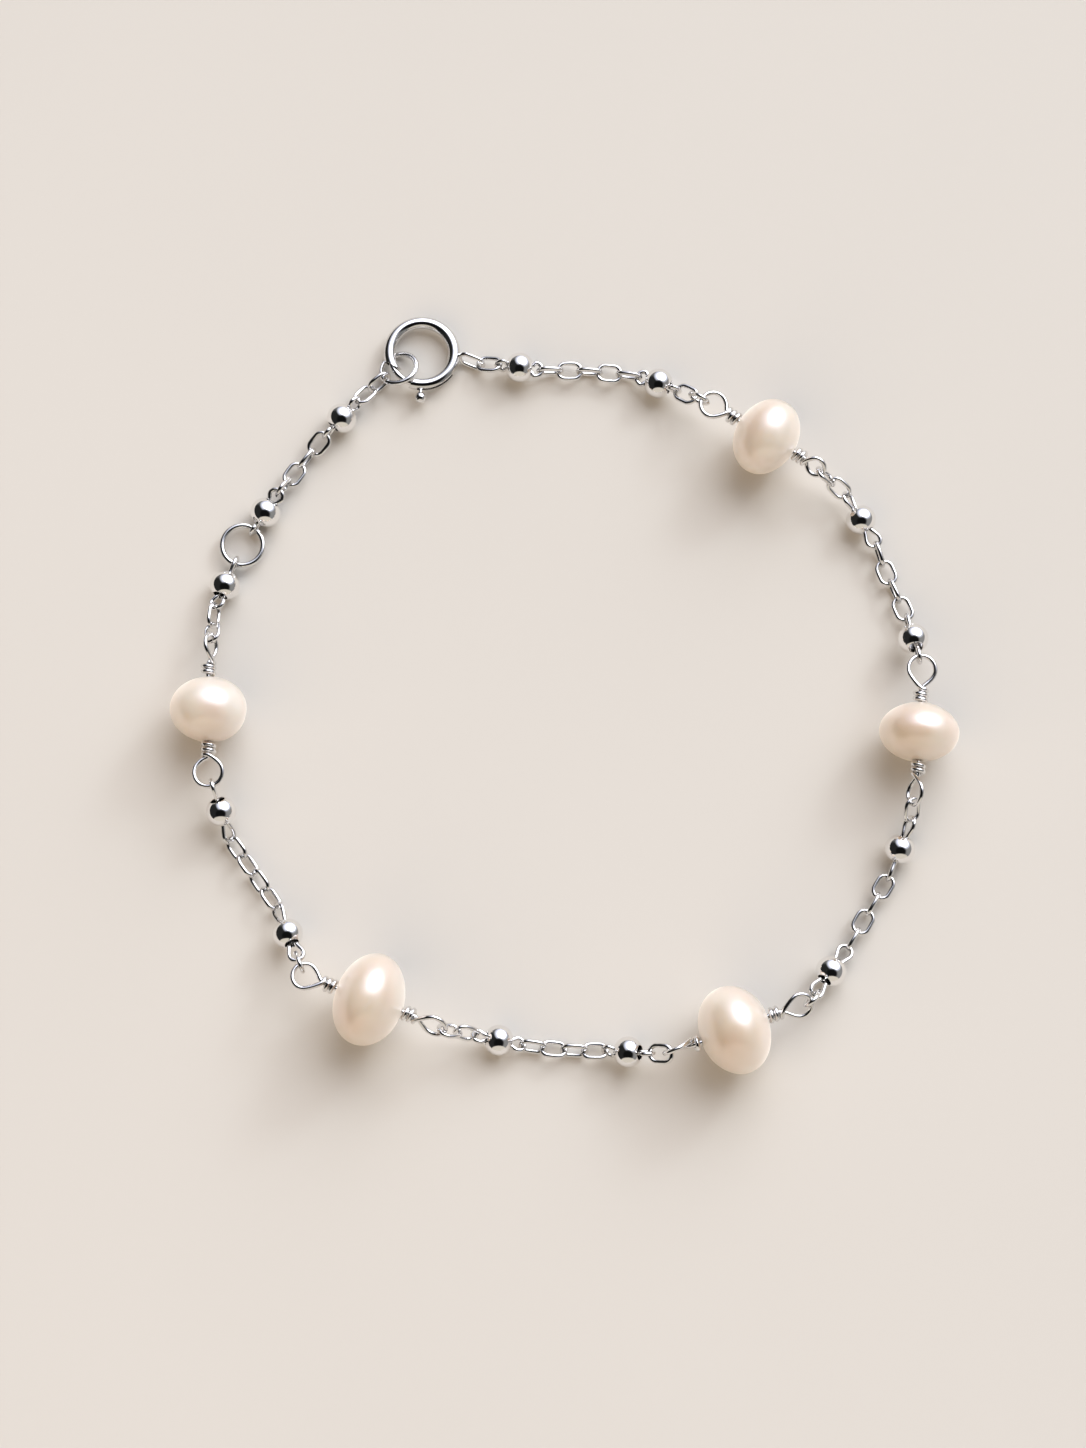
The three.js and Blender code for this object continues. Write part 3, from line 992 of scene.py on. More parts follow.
def wire_piece(name: str, points: Sequence[Vector], diameter: float, closed: bool,
               sides: int = WIRE_SIDES) -> bpy.types.Object:
    """Round wire along a route, drawn as a curve because no primitive has its bends.

    Args:
        name: Name of the piece.
        points: Close samples of its centre line.
        diameter: Wire diameter.
        closed: Whether the wire is a closed loop.
        sides: Sides of its section.

    Returns:
        The wire as a mesh.
    """
    deselect()
    bpy.ops.curve.primitive_nurbs_path_add(location=ORIGIN)
    obj = named(name)
    curve = obj.data
    curve.splines.clear()
    spline = curve.splines.new("POLY")
    spline.points.add(len(points) - 1)
    for knot, point in zip(spline.points, points):
        knot.co = (*point, 1)
    spline.use_cyclic_u = closed
    curve.bevel_depth = diameter / 2
    # A bevel of resolution n has 2n + 4 sides
    curve.bevel_resolution = sides // 2 - 2
    curve.use_fill_caps = not closed
    bpy.ops.object.convert(target="MESH")
    bpy.ops.object.mode_set(mode="EDIT")
    close_up()
    return named(name)


def ring_piece(name: str, radius: float, wire: float, sections: int, sides: int
               ) -> bpy.types.Object:
    """A ring of round wire about the origin in the XY plane.

    Args:
        name: Name of the piece.
        radius: Radius of its centre line.
        wire: Wire diameter.
        sections: Faces round the ring.
        sides: Faces round the wire.

    Returns:
        The ring.
    """
    deselect()
    bpy.ops.mesh.primitive_torus_add(
        location=ORIGIN, major_segments=sections, minor_segments=sides,
        major_radius=radius, minor_radius=wire / 2,
    )
    return named(name)


def oval_piece(name: str, length: float, width: float, wire: float) -> bpy.types.Object:
    """An oval wire loop about the origin: a ring whose two halves are drawn apart along x.

    Args:
        name: Name of the piece.
        length: Its outer length.
        width: Its outer width.
        wire: Wire diameter.

    Returns:
        The loop.
    """
    obj = ring_piece(name, (width - wire) / 2, wire, OVAL_SECTIONS, OVAL_SIDES)
    bpy.ops.object.mode_set(mode="EDIT")
    apart = (length - width) / 2
    nearly = wire / 100
    for side in (-1, 1):
        select_vertices(obj, lambda spot, way=side: way * spot.x > nearly)
        bpy.ops.transform.translate(value=(side * apart, 0, 0))
    bpy.ops.object.mode_set(mode="OBJECT")
    return obj


def bead_profile(diameter: float, length: float, bore: float, rim: float, rings: int
                 ) -> list[Vector]:
    """The closed section of a drilled bead: its round side, its two rims and its bore.

    Args:
        diameter: Diameter across the bore.
        length: Length along the bore.
        bore: Diameter of the bore.
        rim: Radius of the rounding at the bore's mouths.
        rings: Points of the round side.

    Returns:
        Points in the XY plane, with the bore along x.
    """
    turn = math.acos((bore / 2 + rim) / (diameter / 2 - rim))
    middle = Vector((length / 2 - rim, bore / 2 + rim, 0))
    rise = (middle.x + rim * math.sin(turn)) / math.sin(turn)
    side = []
    for i in range(rings + 1):
        angle = turn * (2 * i / rings - 1)
        side.append(Vector((rise * math.sin(angle), diameter / 2 * math.cos(angle), 0)))
    first = QUARTER_TURN - math.degrees(turn)
    sweep = first + QUARTER_TURN
    mouth = []
    for i in range(1, RIM_STEPS + 1):
        mouth.append(middle + point_on_circle(rim, first - sweep * i / RIM_STEPS))
    other = [Vector((-point.x, point.y, 0)) for point in reversed(mouth)]
    return side + mouth + other


def drilled_bead(name: str, diameter: float, length: float, bore: float, rim: float,
                 segments: int, rings: int) -> bpy.types.Object:
    """A flattened ball drilled along x: a circle shaped to its section and spun round x.

    Args:
        name: Name of the piece.
        diameter: Diameter across the bore.
        length: Length along the bore.
        bore: Diameter of the bore.
        rim: Radius of the rounding at the bore's mouths.
        segments: Faces round it.
        rings: Faces along its round side.

    Returns:
        The bead about the origin.
    """
    profile = bead_profile(diameter, length, bore, rim, rings)
    deselect()
    bpy.ops.mesh.primitive_circle_add(vertices=len(profile), radius=1, location=ORIGIN)
    obj = named(name)
    bpy.ops.object.mode_set(mode="EDIT")
    mesh = bmesh.from_edit_mesh(obj.data)
    for vertex, point in zip(mesh.verts, profile):
        vertex.co = point
    bmesh.update_edit_mesh(obj.data)
    bpy.ops.mesh.select_all(action="SELECT")
    bpy.ops.mesh.spin(steps=segments, angle=2 * math.pi, center=ORIGIN, axis=(1, 0, 0))
    close_up()
    return obj


# Finishes

# Finer layers in the noise of a handled surface
SURFACE_DETAIL = 3.0


class NodeBoard:
    """Short calls for building a node tree."""

    def __init__(self, tree: bpy.types.NodeTree) -> None:
        """Clear a tree and keep it.

        Args:
            tree: The tree.
        """
        self.tree = tree
        tree.nodes.clear()

    def feed(self, node: bpy.types.Node, inputs: dict[str | int, object]) -> None:
        """Link or set a node's inputs.

        Args:
            node: The node.
            inputs: By name or number, a socket to link or a value to set.
        """
        for name, source in inputs.items():
            if isinstance(source, bpy.types.NodeSocket):
                self.tree.links.new(source, node.inputs[name])
            else:
                node.inputs[name].default_value = source

    def add(self, kind: str, inputs: dict[str | int, object] | None = None,
            **options: object) -> bpy.types.Node:
        """Add a node.

        Args:
            kind: The node's type name.
            inputs: Sockets and values for its inputs.
            options: Its properties by name.

        Returns:
            The node.
        """
        node = self.tree.nodes.new(kind)
        for name, value in options.items():
            setattr(node, name, value)
        self.feed(node, inputs or {})
        return node

    def place(self) -> bpy.types.NodeSocket:
        """The place on the piece, in its object's own coordinates."""
        return self.add("ShaderNodeTexCoord").outputs["Object"]

    def noise(self, place: bpy.types.NodeSocket, scale: float | bpy.types.NodeSocket,
              detail: float) -> bpy.types.NodeSocket:
        """A soft noise.

        Args:
            place: The coordinates that it is read at.
            scale: Its scale.
            detail: How many finer layers it has.

        Returns:
            The noise, about 0.5.
        """
        inputs = {"Vector": place, "Scale": scale, "Detail": detail}
        return self.add("ShaderNodeTexNoise", inputs).outputs["Fac"]

    def compute(self, operation: str, first: bpy.types.NodeSocket,
                second: bpy.types.NodeSocket) -> bpy.types.NodeSocket:
        """Work out one value from two.

        Args:
            operation: The Math node's operation.
            first: The first value.
            second: The second value.

        Returns:
            The result.
        """
        node = self.add("ShaderNodeMath", {0: first, 1: second}, operation=operation)
        return node.outputs["Value"]

    def remap(self, value: bpy.types.NodeSocket, source: tuple[float, float], most: float
              ) -> bpy.types.NodeSocket:
        """Ease a value from nothing up to its most.

        Args:
            value: The value.
            source: Where it begins to count and where it counts fully.
            most: The result there.

        Returns:
            The eased value.
        """
        inputs = {"Value": value, "From Min": source[0], "From Max": source[1],
                  "To Min": 0.0, "To Max": most}
        node = self.add("ShaderNodeMapRange", inputs, interpolation_type="SMOOTHSTEP")
        return node.outputs["Result"]

    def ramp(self, value: bpy.types.NodeSocket, colors: tuple[Color, Color],
             span: tuple[float, float]) -> bpy.types.NodeSocket:
        """Turn a value into a blend of two colours.

        Args:
            value: The value.
            colors: Colour of its low and its high part.
            span: Where the blend begins and ends.

        Returns:
            The colour.
        """
        node = self.add("ShaderNodeValToRGB", {"Fac": value})
        for element, color, position in zip(node.color_ramp.elements, colors, span):
            element.position = position
            element.color = (*color, 1)
        return node.outputs["Color"]

    def overlay(self, factor: bpy.types.NodeSocket, under: object, over: Color
                ) -> bpy.types.NodeSocket:
        """Lay a plain colour over another one.

        Args:
            factor: How far it covers.
            under: The colour below, as a socket or with its alpha.
            over: The plain colour.

        Returns:
            The colour.
        """
        inputs = {"Factor": factor, "A": under, "B": (*over, 1)}
        return self.add("ShaderNodeMix", inputs, data_type="RGBA").outputs["Result"]


def handled_surface() -> bpy.types.ShaderNodeTree:
    """Node group: the faint unevenness of a polished or grown surface.

    Returns:
        A group with the inputs Scale, Gloss and Spread and the outputs Roughness and Height.
    """
    name = "handled_surface"
    if name in bpy.data.node_groups:
        return bpy.data.node_groups[name]
    group = bpy.data.node_groups.new(name, "ShaderNodeTree")
    board = NodeBoard(group)
    for label in ("Scale", "Gloss", "Spread"):
        group.interface.new_socket(label, in_out="INPUT", socket_type="NodeSocketFloat")
    for label in ("Roughness", "Height"):
        group.interface.new_socket(label, in_out="OUTPUT", socket_type="NodeSocketFloat")
    entry = board.add("NodeGroupInput").outputs
    broad = board.noise(board.place(), entry["Scale"], SURFACE_DETAIL)
    spread = board.compute("MULTIPLY", broad, entry["Spread"])
    roughness = board.compute("ADD", spread, entry["Gloss"])
    board.add("NodeGroupOutput", {"Roughness": roughness, "Height": broad})
    return group


@dataclass(frozen=True)
class SurfaceFeel:
    """The faint unevenness of a polished or grown surface.

    gloss is its least roughness, spread how much rougher it gets in places, scale the scale of
    the unevenness, and depth the depth of its relief.
    """

    gloss: float
    spread: float
    scale: float = 900.0
    depth: float = 0.002 * MM

    def dress(self, board: NodeBoard, shader: bpy.types.Node) -> None:
        """Give a shader its roughness and its relief.

        Args:
            board: The material's nodes.
            shader: The Principled shader.
        """
        inputs = {"Scale": self.scale, "Gloss": self.gloss, "Spread": self.spread}
        surface = board.add("ShaderNodeGroup", inputs, node_tree=handled_surface()).outputs
        relief = {"Distance": self.depth, "Height": surface["Height"]}
        bump = board.add("ShaderNodeBump", relief).outputs
        board.feed(shader, {"Roughness": surface["Roughness"], "Normal": bump["Normal"]})


def started_material(name: str) -> tuple[bpy.types.Material, NodeBoard, bpy.types.Node]:
    """A material with a Principled shader on its output.

    Args:
        name: The material's name.

    Returns:
        The material, its nodes and the shader.
    """
    material = bpy.data.materials.new(name)
    material.use_nodes = True
    board = NodeBoard(material.node_tree)
    shader = board.add("ShaderNodeBsdfPrincipled")
    board.add("ShaderNodeOutputMaterial", {"Surface": shader.outputs["BSDF"]})
    return material, board, shader


@dataclass(frozen=True)
class SilverFinish:
    """Polished silver, whose tone wanders a little between dark and light."""

    name: str
    light: Color
    dark: Color
    feel: SurfaceFeel
    tone_scale: float = 450.0
    tone_detail: float = 2.0
    tone_span: tuple[float, float] = (0.3, 0.7)

    def material(self) -> bpy.types.Material:
        """Build the finish.

        Returns:
            Its material.
        """
        material, board, shader = started_material(self.name)
        tone = board.noise(board.place(), self.tone_scale, self.tone_detail)
        color = board.ramp(tone, (self.dark, self.light), self.tone_span)
        board.feed(shader, {"Base Color": color, "Metallic": 1.0})
        self.feel.dress(board, shader)
        return material


@dataclass(frozen=True)
class NacreFinish:
    """Pearl nacre: clouds of cream and white with a rosy cast, under a clear lustre."""

    name: str = "pearl_nacre"
    cream: Color = (0.68, 0.565, 0.43)
    white: Color = (0.75, 0.68, 0.58)
    rose: Color = (0.68, 0.53, 0.42)
    cloud_scale: float = 210.0
    cloud_detail: float = 1.0
    cloud_span: tuple[float, float] = (0.32, 0.68)
    blush_scale: float = 330.0
    blush_detail: float = 0.0
    blush_span: tuple[float, float] = (0.4, 0.75)
    blush_most: float = 0.7
    scatter: float = 0.5
    scatter_radius: Color = (1.0, 0.76, 0.56)
    scatter_scale: float = 0.9 * MM
    index: float = 2.2
    mirror_tint: Color = (0.92, 0.88, 1.0)
    coat: float = 1.0
    coat_roughness: float = 0.3
    coat_index: float = 1.9
    sheen: float = 1.0
    sheen_roughness: float = 0.5
    sheen_tint: Color = (1.0, 0.92, 0.82)
    feel: SurfaceFeel = SurfaceFeel(0.26, 0.06, 600.0, 0.001 * MM)

    def material(self) -> bpy.types.Material:
        """Build the finish, which scatters light softly below its surface.

        Returns:
            Its material.
        """
        material, board, shader = started_material(self.name)
        place = board.place()
        cloud = board.noise(place, self.cloud_scale, self.cloud_detail)
        layers = board.ramp(cloud, (self.cream, self.white), self.cloud_span)
        blush = board.noise(place, self.blush_scale, self.blush_detail)
        cast = board.remap(blush, self.blush_span, self.blush_most)
        board.feed(shader, {
            "Base Color": board.overlay(cast, layers, self.rose),
            "Subsurface Weight": self.scatter,
            "Subsurface Radius": self.scatter_radius,
            "Subsurface Scale": self.scatter_scale,
            "IOR": self.index,
            "Specular Tint": (*self.mirror_tint, 1),
            "Coat Weight": self.coat,
            "Coat Roughness": self.coat_roughness,
            "Coat IOR": self.coat_index,
            "Sheen Weight": self.sheen,
            "Sheen Roughness": self.sheen_roughness,
            "Sheen Tint": (*self.sheen_tint, 1),
        })
        self.feel.dress(board, shader)
        return material


@dataclass(frozen=True)
class FloorFinish:
    """Plain pale floor, a little lighter in places."""

    name: str = "plain_floor"
    color: Color = (0.58, 0.552, 0.508)
    lighter: float = 1.04
    tone_scale: float = 20.0
    tone_detail: float = 2.0
    tone_span: tuple[float, float] = (0.0, 1.0)
    roughness: float = 0.9
    mirror: float = 0.2

    def material(self) -> bpy.types.Material:
        """Build the finish.

        Returns:
            Its material.
        """
        material, board, shader = started_material(self.name)
        tone = board.noise(board.place(), self.tone_scale, self.tone_detail)
        light = tuple(self.lighter * part for part in self.color)
        board.feed(shader, {
            "Base Color": board.ramp(tone, (self.color, light), self.tone_span),
            "Roughness": self.roughness,
            "Specular IOR Level": self.mirror,
        })
        return material


SILVER_WIRE = SilverFinish(
    "silver_wire", (0.84, 0.83, 0.82), (0.72, 0.71, 0.70), SurfaceFeel(0.08, 0.06))
SILVER_BALL = SilverFinish(
    "silver_ball", (0.92, 0.91, 0.90), (0.86, 0.85, 0.84), SurfaceFeel(0.05, 0.04))
SILVER_CLASP = SilverFinish(
    "silver_clasp", (0.80, 0.79, 0.78), (0.70, 0.69, 0.68), SurfaceFeel(0.06, 0.05))


@dataclass
class Wardrobe:
    """The finishes, each built once."""

    nacre: bpy.types.Material = field(default_factory=NacreFinish().material)
    wire: bpy.types.Material = field(default_factory=SILVER_WIRE.material)
    ball: bpy.types.Material = field(default_factory=SILVER_BALL.material)
    clasp: bpy.types.Material = field(default_factory=SILVER_CLASP.material)


def dress(obj: bpy.types.Object, material: bpy.types.Material, node: str,
          body: Body = Body.BRACELET) -> None:
    """Finish a piece: smooth it, give it its material and set it in the frame.

    Args:
        obj: The piece, at its place.
        material: Its material.
        node: The solid that it stands for.
        body: The body that it rides.
    """
    pick(obj)
    bpy.ops.object.shade_smooth_by_angle(angle=math.radians(SMOOTH_ANGLE))
    obj.data.materials.clear()
    obj.data.materials.append(material)
    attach(obj, body.value)
    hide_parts(node)
    LOG.info("%s stands for %s with %d faces", obj.name, node, len(obj.data.polygons))


# Sub-assemblies


@dataclass
class Chain:
    """Stretches of cable chain with drilled balls on their station links.

    arch_sections are the points round the end of a station link, station_steps the samples from
    one of its points to the next, and ball_count numbers the balls as they are built.
    """

    layout: BraceletLayout
    wardrobe: Wardrobe
    arch_sections: int = 5
    station_steps: int = 5
    ball_rim: float = 0.05 * MM
    ball_segments: int = 48
    ball_rings: int = 24
    ball_count: int = 0

    def station_wire(self, piece: ChainPiece, name: str) -> bpy.types.Object:
        """A long link that is narrow inside its ball, with each end rolled by itself.

        Args:
            piece: The station link.
            name: Name of the piece.

        Returns:
            The wire about the link's middle.
        """
        bend = (LINK.station_width - LINK.wire) / 2
        middle = (piece.length - LINK.wire) / 2 - bend
        points = []
        for end, roll in enumerate(piece.rolls):
            slide = piece.slide if end == 1 else -piece.slide
            mouth = BALL.length / 2 + slide
            arch = [Vector((mouth, -LINK.station_legs / 2, 0))]
            for i in range(self.arch_sections):
                swung = HALF_TURN * i / (self.arch_sections - 1)
                corner = point_on_circle(bend, swung - QUARTER_TURN)
                arch.append(Vector((middle, 0, 0)) + corner)
            arch.append(Vector((mouth, LINK.station_legs / 2, 0)))
            turn = Matrix.Rotation(math.pi if end == 0 else 0.0, 3, "Z")
            tilt = Matrix.Rotation(math.radians(roll), 3, "X")
            points += [tilt @ turn @ point for point in arch]
        route = sampled_route(points, self.station_steps, True)
        return wire_piece(name, route, LINK.wire, True)

    def build_stretch(self, number: int, link: bpy.types.Object, ball: bpy.types.Object) -> None:
        """Build one stretch: its links as one piece, and each of its balls.

        Args:
            number: Number of the stretch, from 0.
            link: The plain link that is copied.
            ball: The ball that is copied.
        """
        parts = []
        for i, piece in enumerate(self.layout.walk.stretches[number].pieces):
            name = f"chain_{number + 1}_link_{i + 1}"
            place = self.layout.piece_frame(number, i)
            if piece.slide is None:
                roll = Matrix.Rotation(math.radians(piece.rolls[0]), 4, "X")
                parts.append(put(copied(link, name), place @ roll))
                continue
            parts.append(put(self.station_wire(piece, name), place))
            self.ball_count += 1
            node = f"ball_{self.ball_count:02d}"
            spot = self.layout.piece_frame(number, i, piece.slide)
            polished = put(copied(ball, f"{node}_polished"), spot)
            dress(polished, self.wardrobe.ball, node)
        links = join(f"chain_{number + 1}_links", parts)
        dress(links, self.wardrobe.wire, f"chain_{number + 1}")

    def build(self) -> None:
        """Build every stretch from one link and one ball."""
        link = oval_piece("link_pattern", LINK.length, LINK.width, LINK.wire)
        ball = drilled_bead("ball_pattern", BALL.diameter, BALL.length, BALL.bore,
                            self.ball_rim, self.ball_segments, self.ball_rings)
        for number in range(len(STRETCHES)):
            self.build_stretch(number, link, ball)
        for pattern in (link, ball):
            bpy.data.objects.remove(pattern, do_unlink=True)


@dataclass
class PearlOnPin:
    """A drilled pearl on its wire, with a wrapped loop at each end.

    rim rounds the mouths of its bore, unevenness is how far its form swells in soft clouds of
    cloud_size, and wire_steps are the samples from one point of its wire to the next.
    """

    layout: BraceletLayout
    wardrobe: Wardrobe
    number: int
    sizes: PearlSizes
    rim: float = 0.12 * MM
    segments: int = 72
    rings: int = 44
    unevenness: float = 0.16 * MM
    cloud_size: float = 3.4 * MM
    wire_steps: int = 3

    def pose(self) -> Matrix:
        """Pose of the pearl's middle, x along its wire."""
        height = Matrix.Translation((0, 0, self.sizes.diameter / 2))
        return self.layout.carrier_pose(self.number) @ height

    def half_route(self, end: PinEnd) -> list[Vector]:
        """Half of the wire: out from the pearl's middle, round the loop and back in coils.

        Args:
            end: Sizes of this end.

        Returns:
            Points of the centre line, towards +x.
        """
        radius = pin_loop_radius(end)
        centre = pin_loop_reach(self.sizes, end)
        neck = self.sizes.length / 2 + coil_length(end)
        coil = PIN.wire + PIN.coil_gap
        tilt = Matrix.Rotation(math.radians(end.roll), 3, "X")
        points = [Vector((neck / 2, 0, 0)), Vector((neck - PIN.lead, 0, 0))]
        opening = math.degrees(math.acos(radius / (centre - neck + PIN.lead)))
        for i in range(PIN.loop_sections + 1):
            share = i / PIN.loop_sections
            angle = opening - HALF_TURN + share * (FULL_TURN - 2 * opening)
            spot = point_on_circle(radius, angle)
            points.append(Vector((centre + spot.x, spot.y, coil * share)))
        for i in range(round(end.turns * PIN.coil_sections) + 1):
            turn = i / PIN.coil_sections
            spot = point_on_circle(coil, QUARTER_TURN + FULL_TURN * turn)
            points.append(Vector((neck - PIN.lead - turn * PIN.coil_pitch, spot.x, spot.y)))
        return [tilt @ point for point in points]

    def build_pin(self) -> None:
        """Build the wire with its loops and coils."""
        turned = Matrix.Rotation(math.pi, 3, "Z")
        first = [turned @ point for point in self.half_route(self.sizes.start)]
        points = first[::-1] + self.half_route(self.sizes.end)
        route = sampled_route(points, self.wire_steps, False)
        pin = wire_piece(f"pearl_pin_{self.number}_wire", route, PIN.wire, False)
        put(pin, self.pose())
        dress(pin, self.wardrobe.wire, f"pearl_pin_{self.number}")

    def build_pearl(self) -> None:
        """Build the pearl with the slight unevenness of a grown form."""
        pearl = drilled_bead(
            f"pearl_{self.number}_nacre", self.sizes.diameter - self.unevenness,
            self.sizes.length, PIN.pearl_bore, self.rim, self.segments, self.rings,
        )
        put(pearl, self.pose())
        clouds = bpy.data.textures.new(f"pearl_{self.number}_form", "CLOUDS")
        clouds.noise_scale = self.cloud_size
        clouds.noise_depth = 0
        pick(pearl)
        swell = pearl.modifiers.new("form", "DISPLACE")
        swell.texture = clouds
        swell.texture_coords = "GLOBAL"
        swell.strength = self.unevenness
        swell.mid_level = 0.5
        bpy.ops.object.modifier_apply(modifier=swell.name)
        dress(pearl, self.wardrobe.nacre, f"pearl_{self.number}")

    def build(self) -> None:
        """Build the pearl and its wire."""
        self.build_pearl()
        self.build_pin()


@dataclass
class Clasp:
    """Ring clasp with its eye, its sprung tongue and the jump ring that it closes on.

    Its own fields count the faces of its pieces. Its sizes are those shared with the solids.
    """

    layout: BraceletLayout
    wardrobe: Wardrobe
    sections: int = 128
    sides: int = 32
    cutter_cuts: int = 3
    tongue_steps: int = 36
    tongue_sides: int = 16
    stem_sides: int = 24
    trigger_segments: int = 32
    trigger_rings: int = 20
    jump_ring_sections: int = 64
    jump_ring_sides: int = 16

    def pose(self) -> Matrix:
        """Pose of the leaning clasp in the row frame."""
        return self.layout.carrier_pose(0) @ self.layout.clasp.lean

    def sector(self, name: str, inner: float, outer: float, start: tuple[float, float],
               end: tuple[float, float], thickness: float) -> bpy.types.Object:
        """A cutter between two radii: a block whose corners are moved to the sector's.

        Args:
            name: Name of the cutter.
            inner: Inner radius.
            outer: Outer radius.
            start: Angle of its first side and that side's slant.
            end: Angle of its second side and that side's slant.
            thickness: Thickness about the clasp's plane.

        Returns:
            The cutter.
        """
        deselect()
        bpy.ops.mesh.primitive_cube_add(size=2)
        cutter = named(name)
        bpy.ops.object.mode_set(mode="EDIT")
        bpy.ops.mesh.select_all(action="SELECT")
        bpy.ops.mesh.subdivide(number_cuts=self.cutter_cuts)
        mesh = bmesh.from_edit_mesh(cutter.data)
        for vertex in mesh.verts:
            radius = inner + (outer - inner) * (vertex.co.x + 1) / 2
            slant = (radius - CLASP.radius) / (CLASP.tube / 2)
            low = start[0] + start[1] * slant
            high = end[0] + end[1] * slant
            angle = low + (high - low) * (vertex.co.y + 1) / 2
            height = vertex.co.z * thickness / 2
            vertex.co = point_on_circle(radius, angle) + Vector((0, 0, height))
        bmesh.update_edit_mesh(cutter.data)
        bpy.ops.object.mode_set(mode="OBJECT")
        return cutter

    def build_ring(self) -> None:
        """Build the hollow tube with its eye, its mouth and the trigger's slot."""
        ring = ring_piece("clasp_ring_tube", CLASP.radius, CLASP.tube, self.sections, self.sides)
        eye = oval_piece("eye", CLASP.eye_length, CLASP.eye_width, CLASP.eye_wire)
        start = Matrix.Translation(((CLASP.eye_length - CLASP.eye_wire) / 2, 0, 0))
        put(eye, self.layout.clasp.eye_frame @ start)
        combine(ring, eye, Combining.UNION)
        bore = ring_piece("bore", CLASP.radius, CLASP.bore, self.sections, self.sides)
        combine(ring, bore, Combining.DIFFERENCE)
        inside = CLASP.radius - CLASP.tube
        outside = CLASP.radius + CLASP.tube
        mouth = self.sector(
            "mouth", inside, outside, (CLASP.socket_end, -CLASP.socket_slant),
            (CLASP.mouth_end, -CLASP.mouth_slant), 2 * CLASP.tube,
        )
        combine(ring, mouth, Combining.DIFFERENCE)
        way = math.degrees((CLASP.stem / 2 + HOOK_GAP) / CLASP.radius)
        slot = self.sector(
            "slot", CLASP.radius, outside, (CLASP.trigger_place - way, 0),
            (CLASP.trigger_place + CLASP.tongue_travel + way, 0), CLASP.stem + 2 * HOOK_GAP,
        )
        combine(ring, slot, Combining.DIFFERENCE)
        put(ring, self.pose())
        dress(ring, self.wardrobe.clasp, "clasp_ring")

    def build_bolt(self) -> None:
        """Build the tongue with its trigger's stem and ball."""
        first = CLASP.socket_end - CLASP.tongue_in_socket
        sweep = CLASP.trigger_place + CLASP.tongue_behind_trigger - first
        route = [point_on_circle(CLASP.radius, first + sweep * i / self.tongue_steps)
                 for i in range(self.tongue_steps + 1)]
        bolt = wire_piece("clasp_bolt_tongue", route, CLASP.tongue, False, self.tongue_sides)
        reach = CLASP.tube / 2 + CLASP.trigger_rise
        turn = Matrix.Rotation(math.radians(CLASP.trigger_place), 4, "Z")
        deselect()
        bpy.ops.mesh.primitive_cylinder_add(
            vertices=self.stem_sides, radius=CLASP.stem / 2, depth=reach)
        stem = named("stem")
        lay = Matrix.Rotation(math.radians(QUARTER_TURN), 4, "Y")
        put(stem, turn @ Matrix.Translation((CLASP.radius + reach / 2, 0, 0)) @ lay)
        combine(bolt, stem, Combining.UNION)
        deselect()
        bpy.ops.mesh.primitive_uv_sphere_add(
            segments=self.trigger_segments, ring_count=self.trigger_rings,
            radius=CLASP.trigger / 2)
        trigger = named("trigger")
        put(trigger, turn @ Matrix.Translation((CLASP.radius + reach, 0, 0)))
        combine(bolt, trigger, Combining.UNION)
        put(bolt, self.pose())
        dress(bolt, self.wardrobe.clasp, "clasp_bolt", Body.CLASP_BOLT)

    def build_jump_ring(self) -> None:
        """Build the ring that the clasp closes on."""
        ring = ring_piece("jump_ring_wire", JUMP_RING.radius, JUMP_RING.wire,
                          self.jump_ring_sections, self.jump_ring_sides)
        loop = self.layout.clasp.jump_ring_loop()
        put(ring, self.layout.carrier_pose(0) @ loop.frame)
        dress(ring, self.wardrobe.wire, "jump_ring")

    def build(self) -> None:
        """Build the clasp's pieces."""
        self.build_ring()
        self.build_bolt()
        self.build_jump_ring()


@dataclass
class SizingRing:
    """The larger ring set in the chain."""

    layout: BraceletLayout
    wardrobe: Wardrobe
    sections: int = 72
    sides: int = 16

    def build(self) -> None:
        """Build the ring."""
        ring = ring_piece("sizing_ring_wire", SIZING_RING.radius, SIZING_RING.wire,
                          self.sections, self.sides)
        height = Matrix.Translation((0, 0, LINK.station_width / 2))
        put(ring, self.layout.carrier_pose(len(PEARLS) + 1) @ height)
        dress(ring, self.wardrobe.wire, "sizing_ring")


# Studio


@dataclass(frozen=True)
class LampSizes:
    """A round lamp: its direction in degrees, its distance and size, its power and colour."""

    name: str
    azimuth: float
    elevation: float
    distance: float
    size: float
    power: float
    color: Color


@dataclass(frozen=True)
class SkyPatch:
    """A soft round part of the surroundings.

    begin and full are the angles from its direction, in degrees, at which it begins and is full.
    """

    direction: tuple[float, float, float]
    begin: float
    full: float
    color: Color


KEY_LIGHT = LampSizes("key_light", 47.0, 31.0, 0.6, 0.13, 0.7, (0.82, 0.93, 1.0))
FILL_LIGHT = LampSizes("fill_light", 227.0, 38.0, 1.0, 1.4, 7.4, (1.0, 0.8, 0.6))

# Grey walls, with a pale right side, a dark left side, a window with its glow, a dark ceiling
# over the camera and a warm front
SKY_BASE = (0.20, 0.198, 0.195)
SKY_PATCHES = (
    SkyPatch((0.9, 0.0, 0.25), 60, 20, (0.26, 0.257, 0.254)),
    SkyPatch((-0.85, -0.05, 0.45), 66, 36, (0.02, 0.02, 0.02)),
    SkyPatch((0.32, 0.67, 0.66), 55, 32, (1.0, 1.04, 1.22)),
    SkyPatch((0.37, 0.64, 0.66), 37, 18, (4.6, 4.65, 4.9)),
    SkyPatch((0.03, -0.46, 0.86), 46, 29, (0.006, 0.006, 0.006)),
    SkyPatch((0.0, -1.0, 0.0), 46, 40, (0.72, 0.66, 0.57)),
)


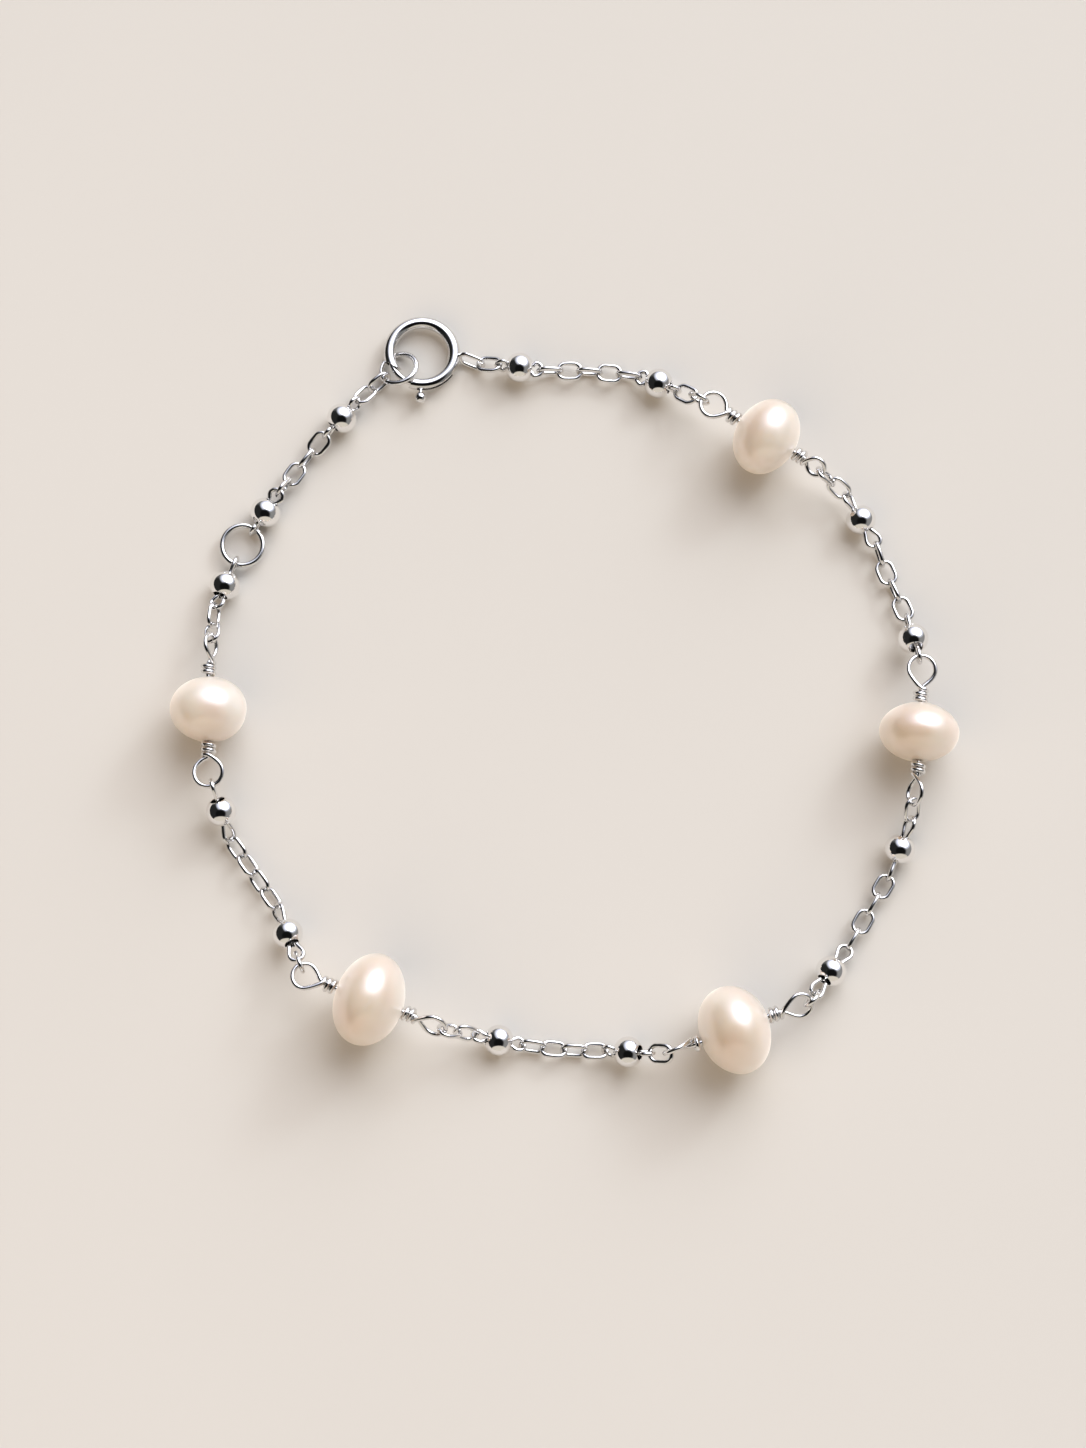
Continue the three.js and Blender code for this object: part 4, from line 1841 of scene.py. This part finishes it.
@dataclass
class Studio:
    """Camera, floor and light."""

    target: tuple[float, float, float] = (-1.61 * MM, -2.54 * MM, 0.0)
    elevation: float = 79.0
    distance: float = 261 * MM
    lens: float = 84.3
    sensor_height: float = 36.0
    clip: tuple[float, float] = (0.01, 10.0)
    floor_width: float = 1.6
    floor_drop: float = 0.02 * MM

    def build_camera(self) -> None:
        """Set the camera at the photograph's angle, without depth of field."""
        angle = math.radians(self.elevation)
        back = Vector((0, -math.cos(angle), math.sin(angle)))
        bpy.ops.object.camera_add(location=Vector(self.target) + self.distance * back)
        camera = named("camera")
        camera.rotation_euler = (math.radians(QUARTER_TURN - self.elevation), 0, 0)
        camera.data.sensor_fit = "VERTICAL"
        camera.data.sensor_height = self.sensor_height
        camera.data.lens = self.lens
        camera.data.clip_start, camera.data.clip_end = self.clip
        bpy.context.scene.camera = camera

    def build_floor(self) -> None:
        """Lay a plain pale floor."""
        deselect()
        bpy.ops.mesh.primitive_plane_add(
            size=self.floor_width, location=(0, 0, -self.floor_drop))
        floor = named("floor")
        floor.data.materials.append(FloorFinish().material())

    @staticmethod
    def build_lamp(lamp: LampSizes) -> None:
        """Add a soft round light that aims at the bracelet and isn't mirrored in it.

        Args:
            lamp: The lamp's sizes.
        """
        level = math.radians(lamp.elevation)
        flat = point_on_circle(math.cos(level), lamp.azimuth)
        towards = flat + Vector((0, 0, math.sin(level)))
        bpy.ops.object.light_add(type="AREA", location=towards * lamp.distance)
        light = named(lamp.name)
        light.rotation_euler = towards.to_track_quat("Z", "Y").to_euler()
        light.data.shape = "DISK"
        light.data.size = lamp.size
        light.data.energy = lamp.power
        light.data.color = lamp.color
        light.visible_glossy = False

    @staticmethod
    def build_sky() -> None:
        """Make the soft surroundings, each patch laid over the ones before it."""
        world = bpy.data.worlds.new("soft_studio")
        bpy.context.scene.world = world
        bpy.context.scene.view_settings.view_transform = "Standard"
        world.use_nodes = True
        board = NodeBoard(world.node_tree)
        towards = board.add("ShaderNodeTexCoord").outputs["Generated"]
        color: object = (*SKY_BASE, 1)
        for patch in SKY_PATCHES:
            middle = Vector(patch.direction).normalized()
            dot = board.add("ShaderNodeVectorMath", {0: towards, 1: middle},
                            operation="DOT_PRODUCT")
            begin, full = (math.cos(math.radians(angle)) for angle in (patch.begin, patch.full))
            cover = board.remap(dot.outputs["Value"], (begin, full), 1.0)
            color = board.overlay(cover, color, patch.color)
        background = board.add("ShaderNodeBackground", {"Color": color})
        board.add("ShaderNodeOutputWorld", {"Surface": background.outputs["Background"]})

    def build(self) -> None:
        """Build the whole studio."""
        self.build_camera()
        self.build_floor()
        self.build_lamp(KEY_LIGHT)
        self.build_lamp(FILL_LIGHT)
        self.build_sky()


def main() -> None:
    """Build every sub-assembly in order."""
    logging.basicConfig(level=logging.INFO, format="%(name)s: %(message)s")
    layout = BraceletLayout()
    wardrobe = Wardrobe()
    Clasp(layout, wardrobe).build()
    for number, sizes in enumerate(PEARLS, start=1):
        PearlOnPin(layout, wardrobe, number, sizes).build()
    Chain(layout, wardrobe).build()
    SizingRing(layout, wardrobe).build()
    Studio().build()


if __name__ == "__main__":
    main()
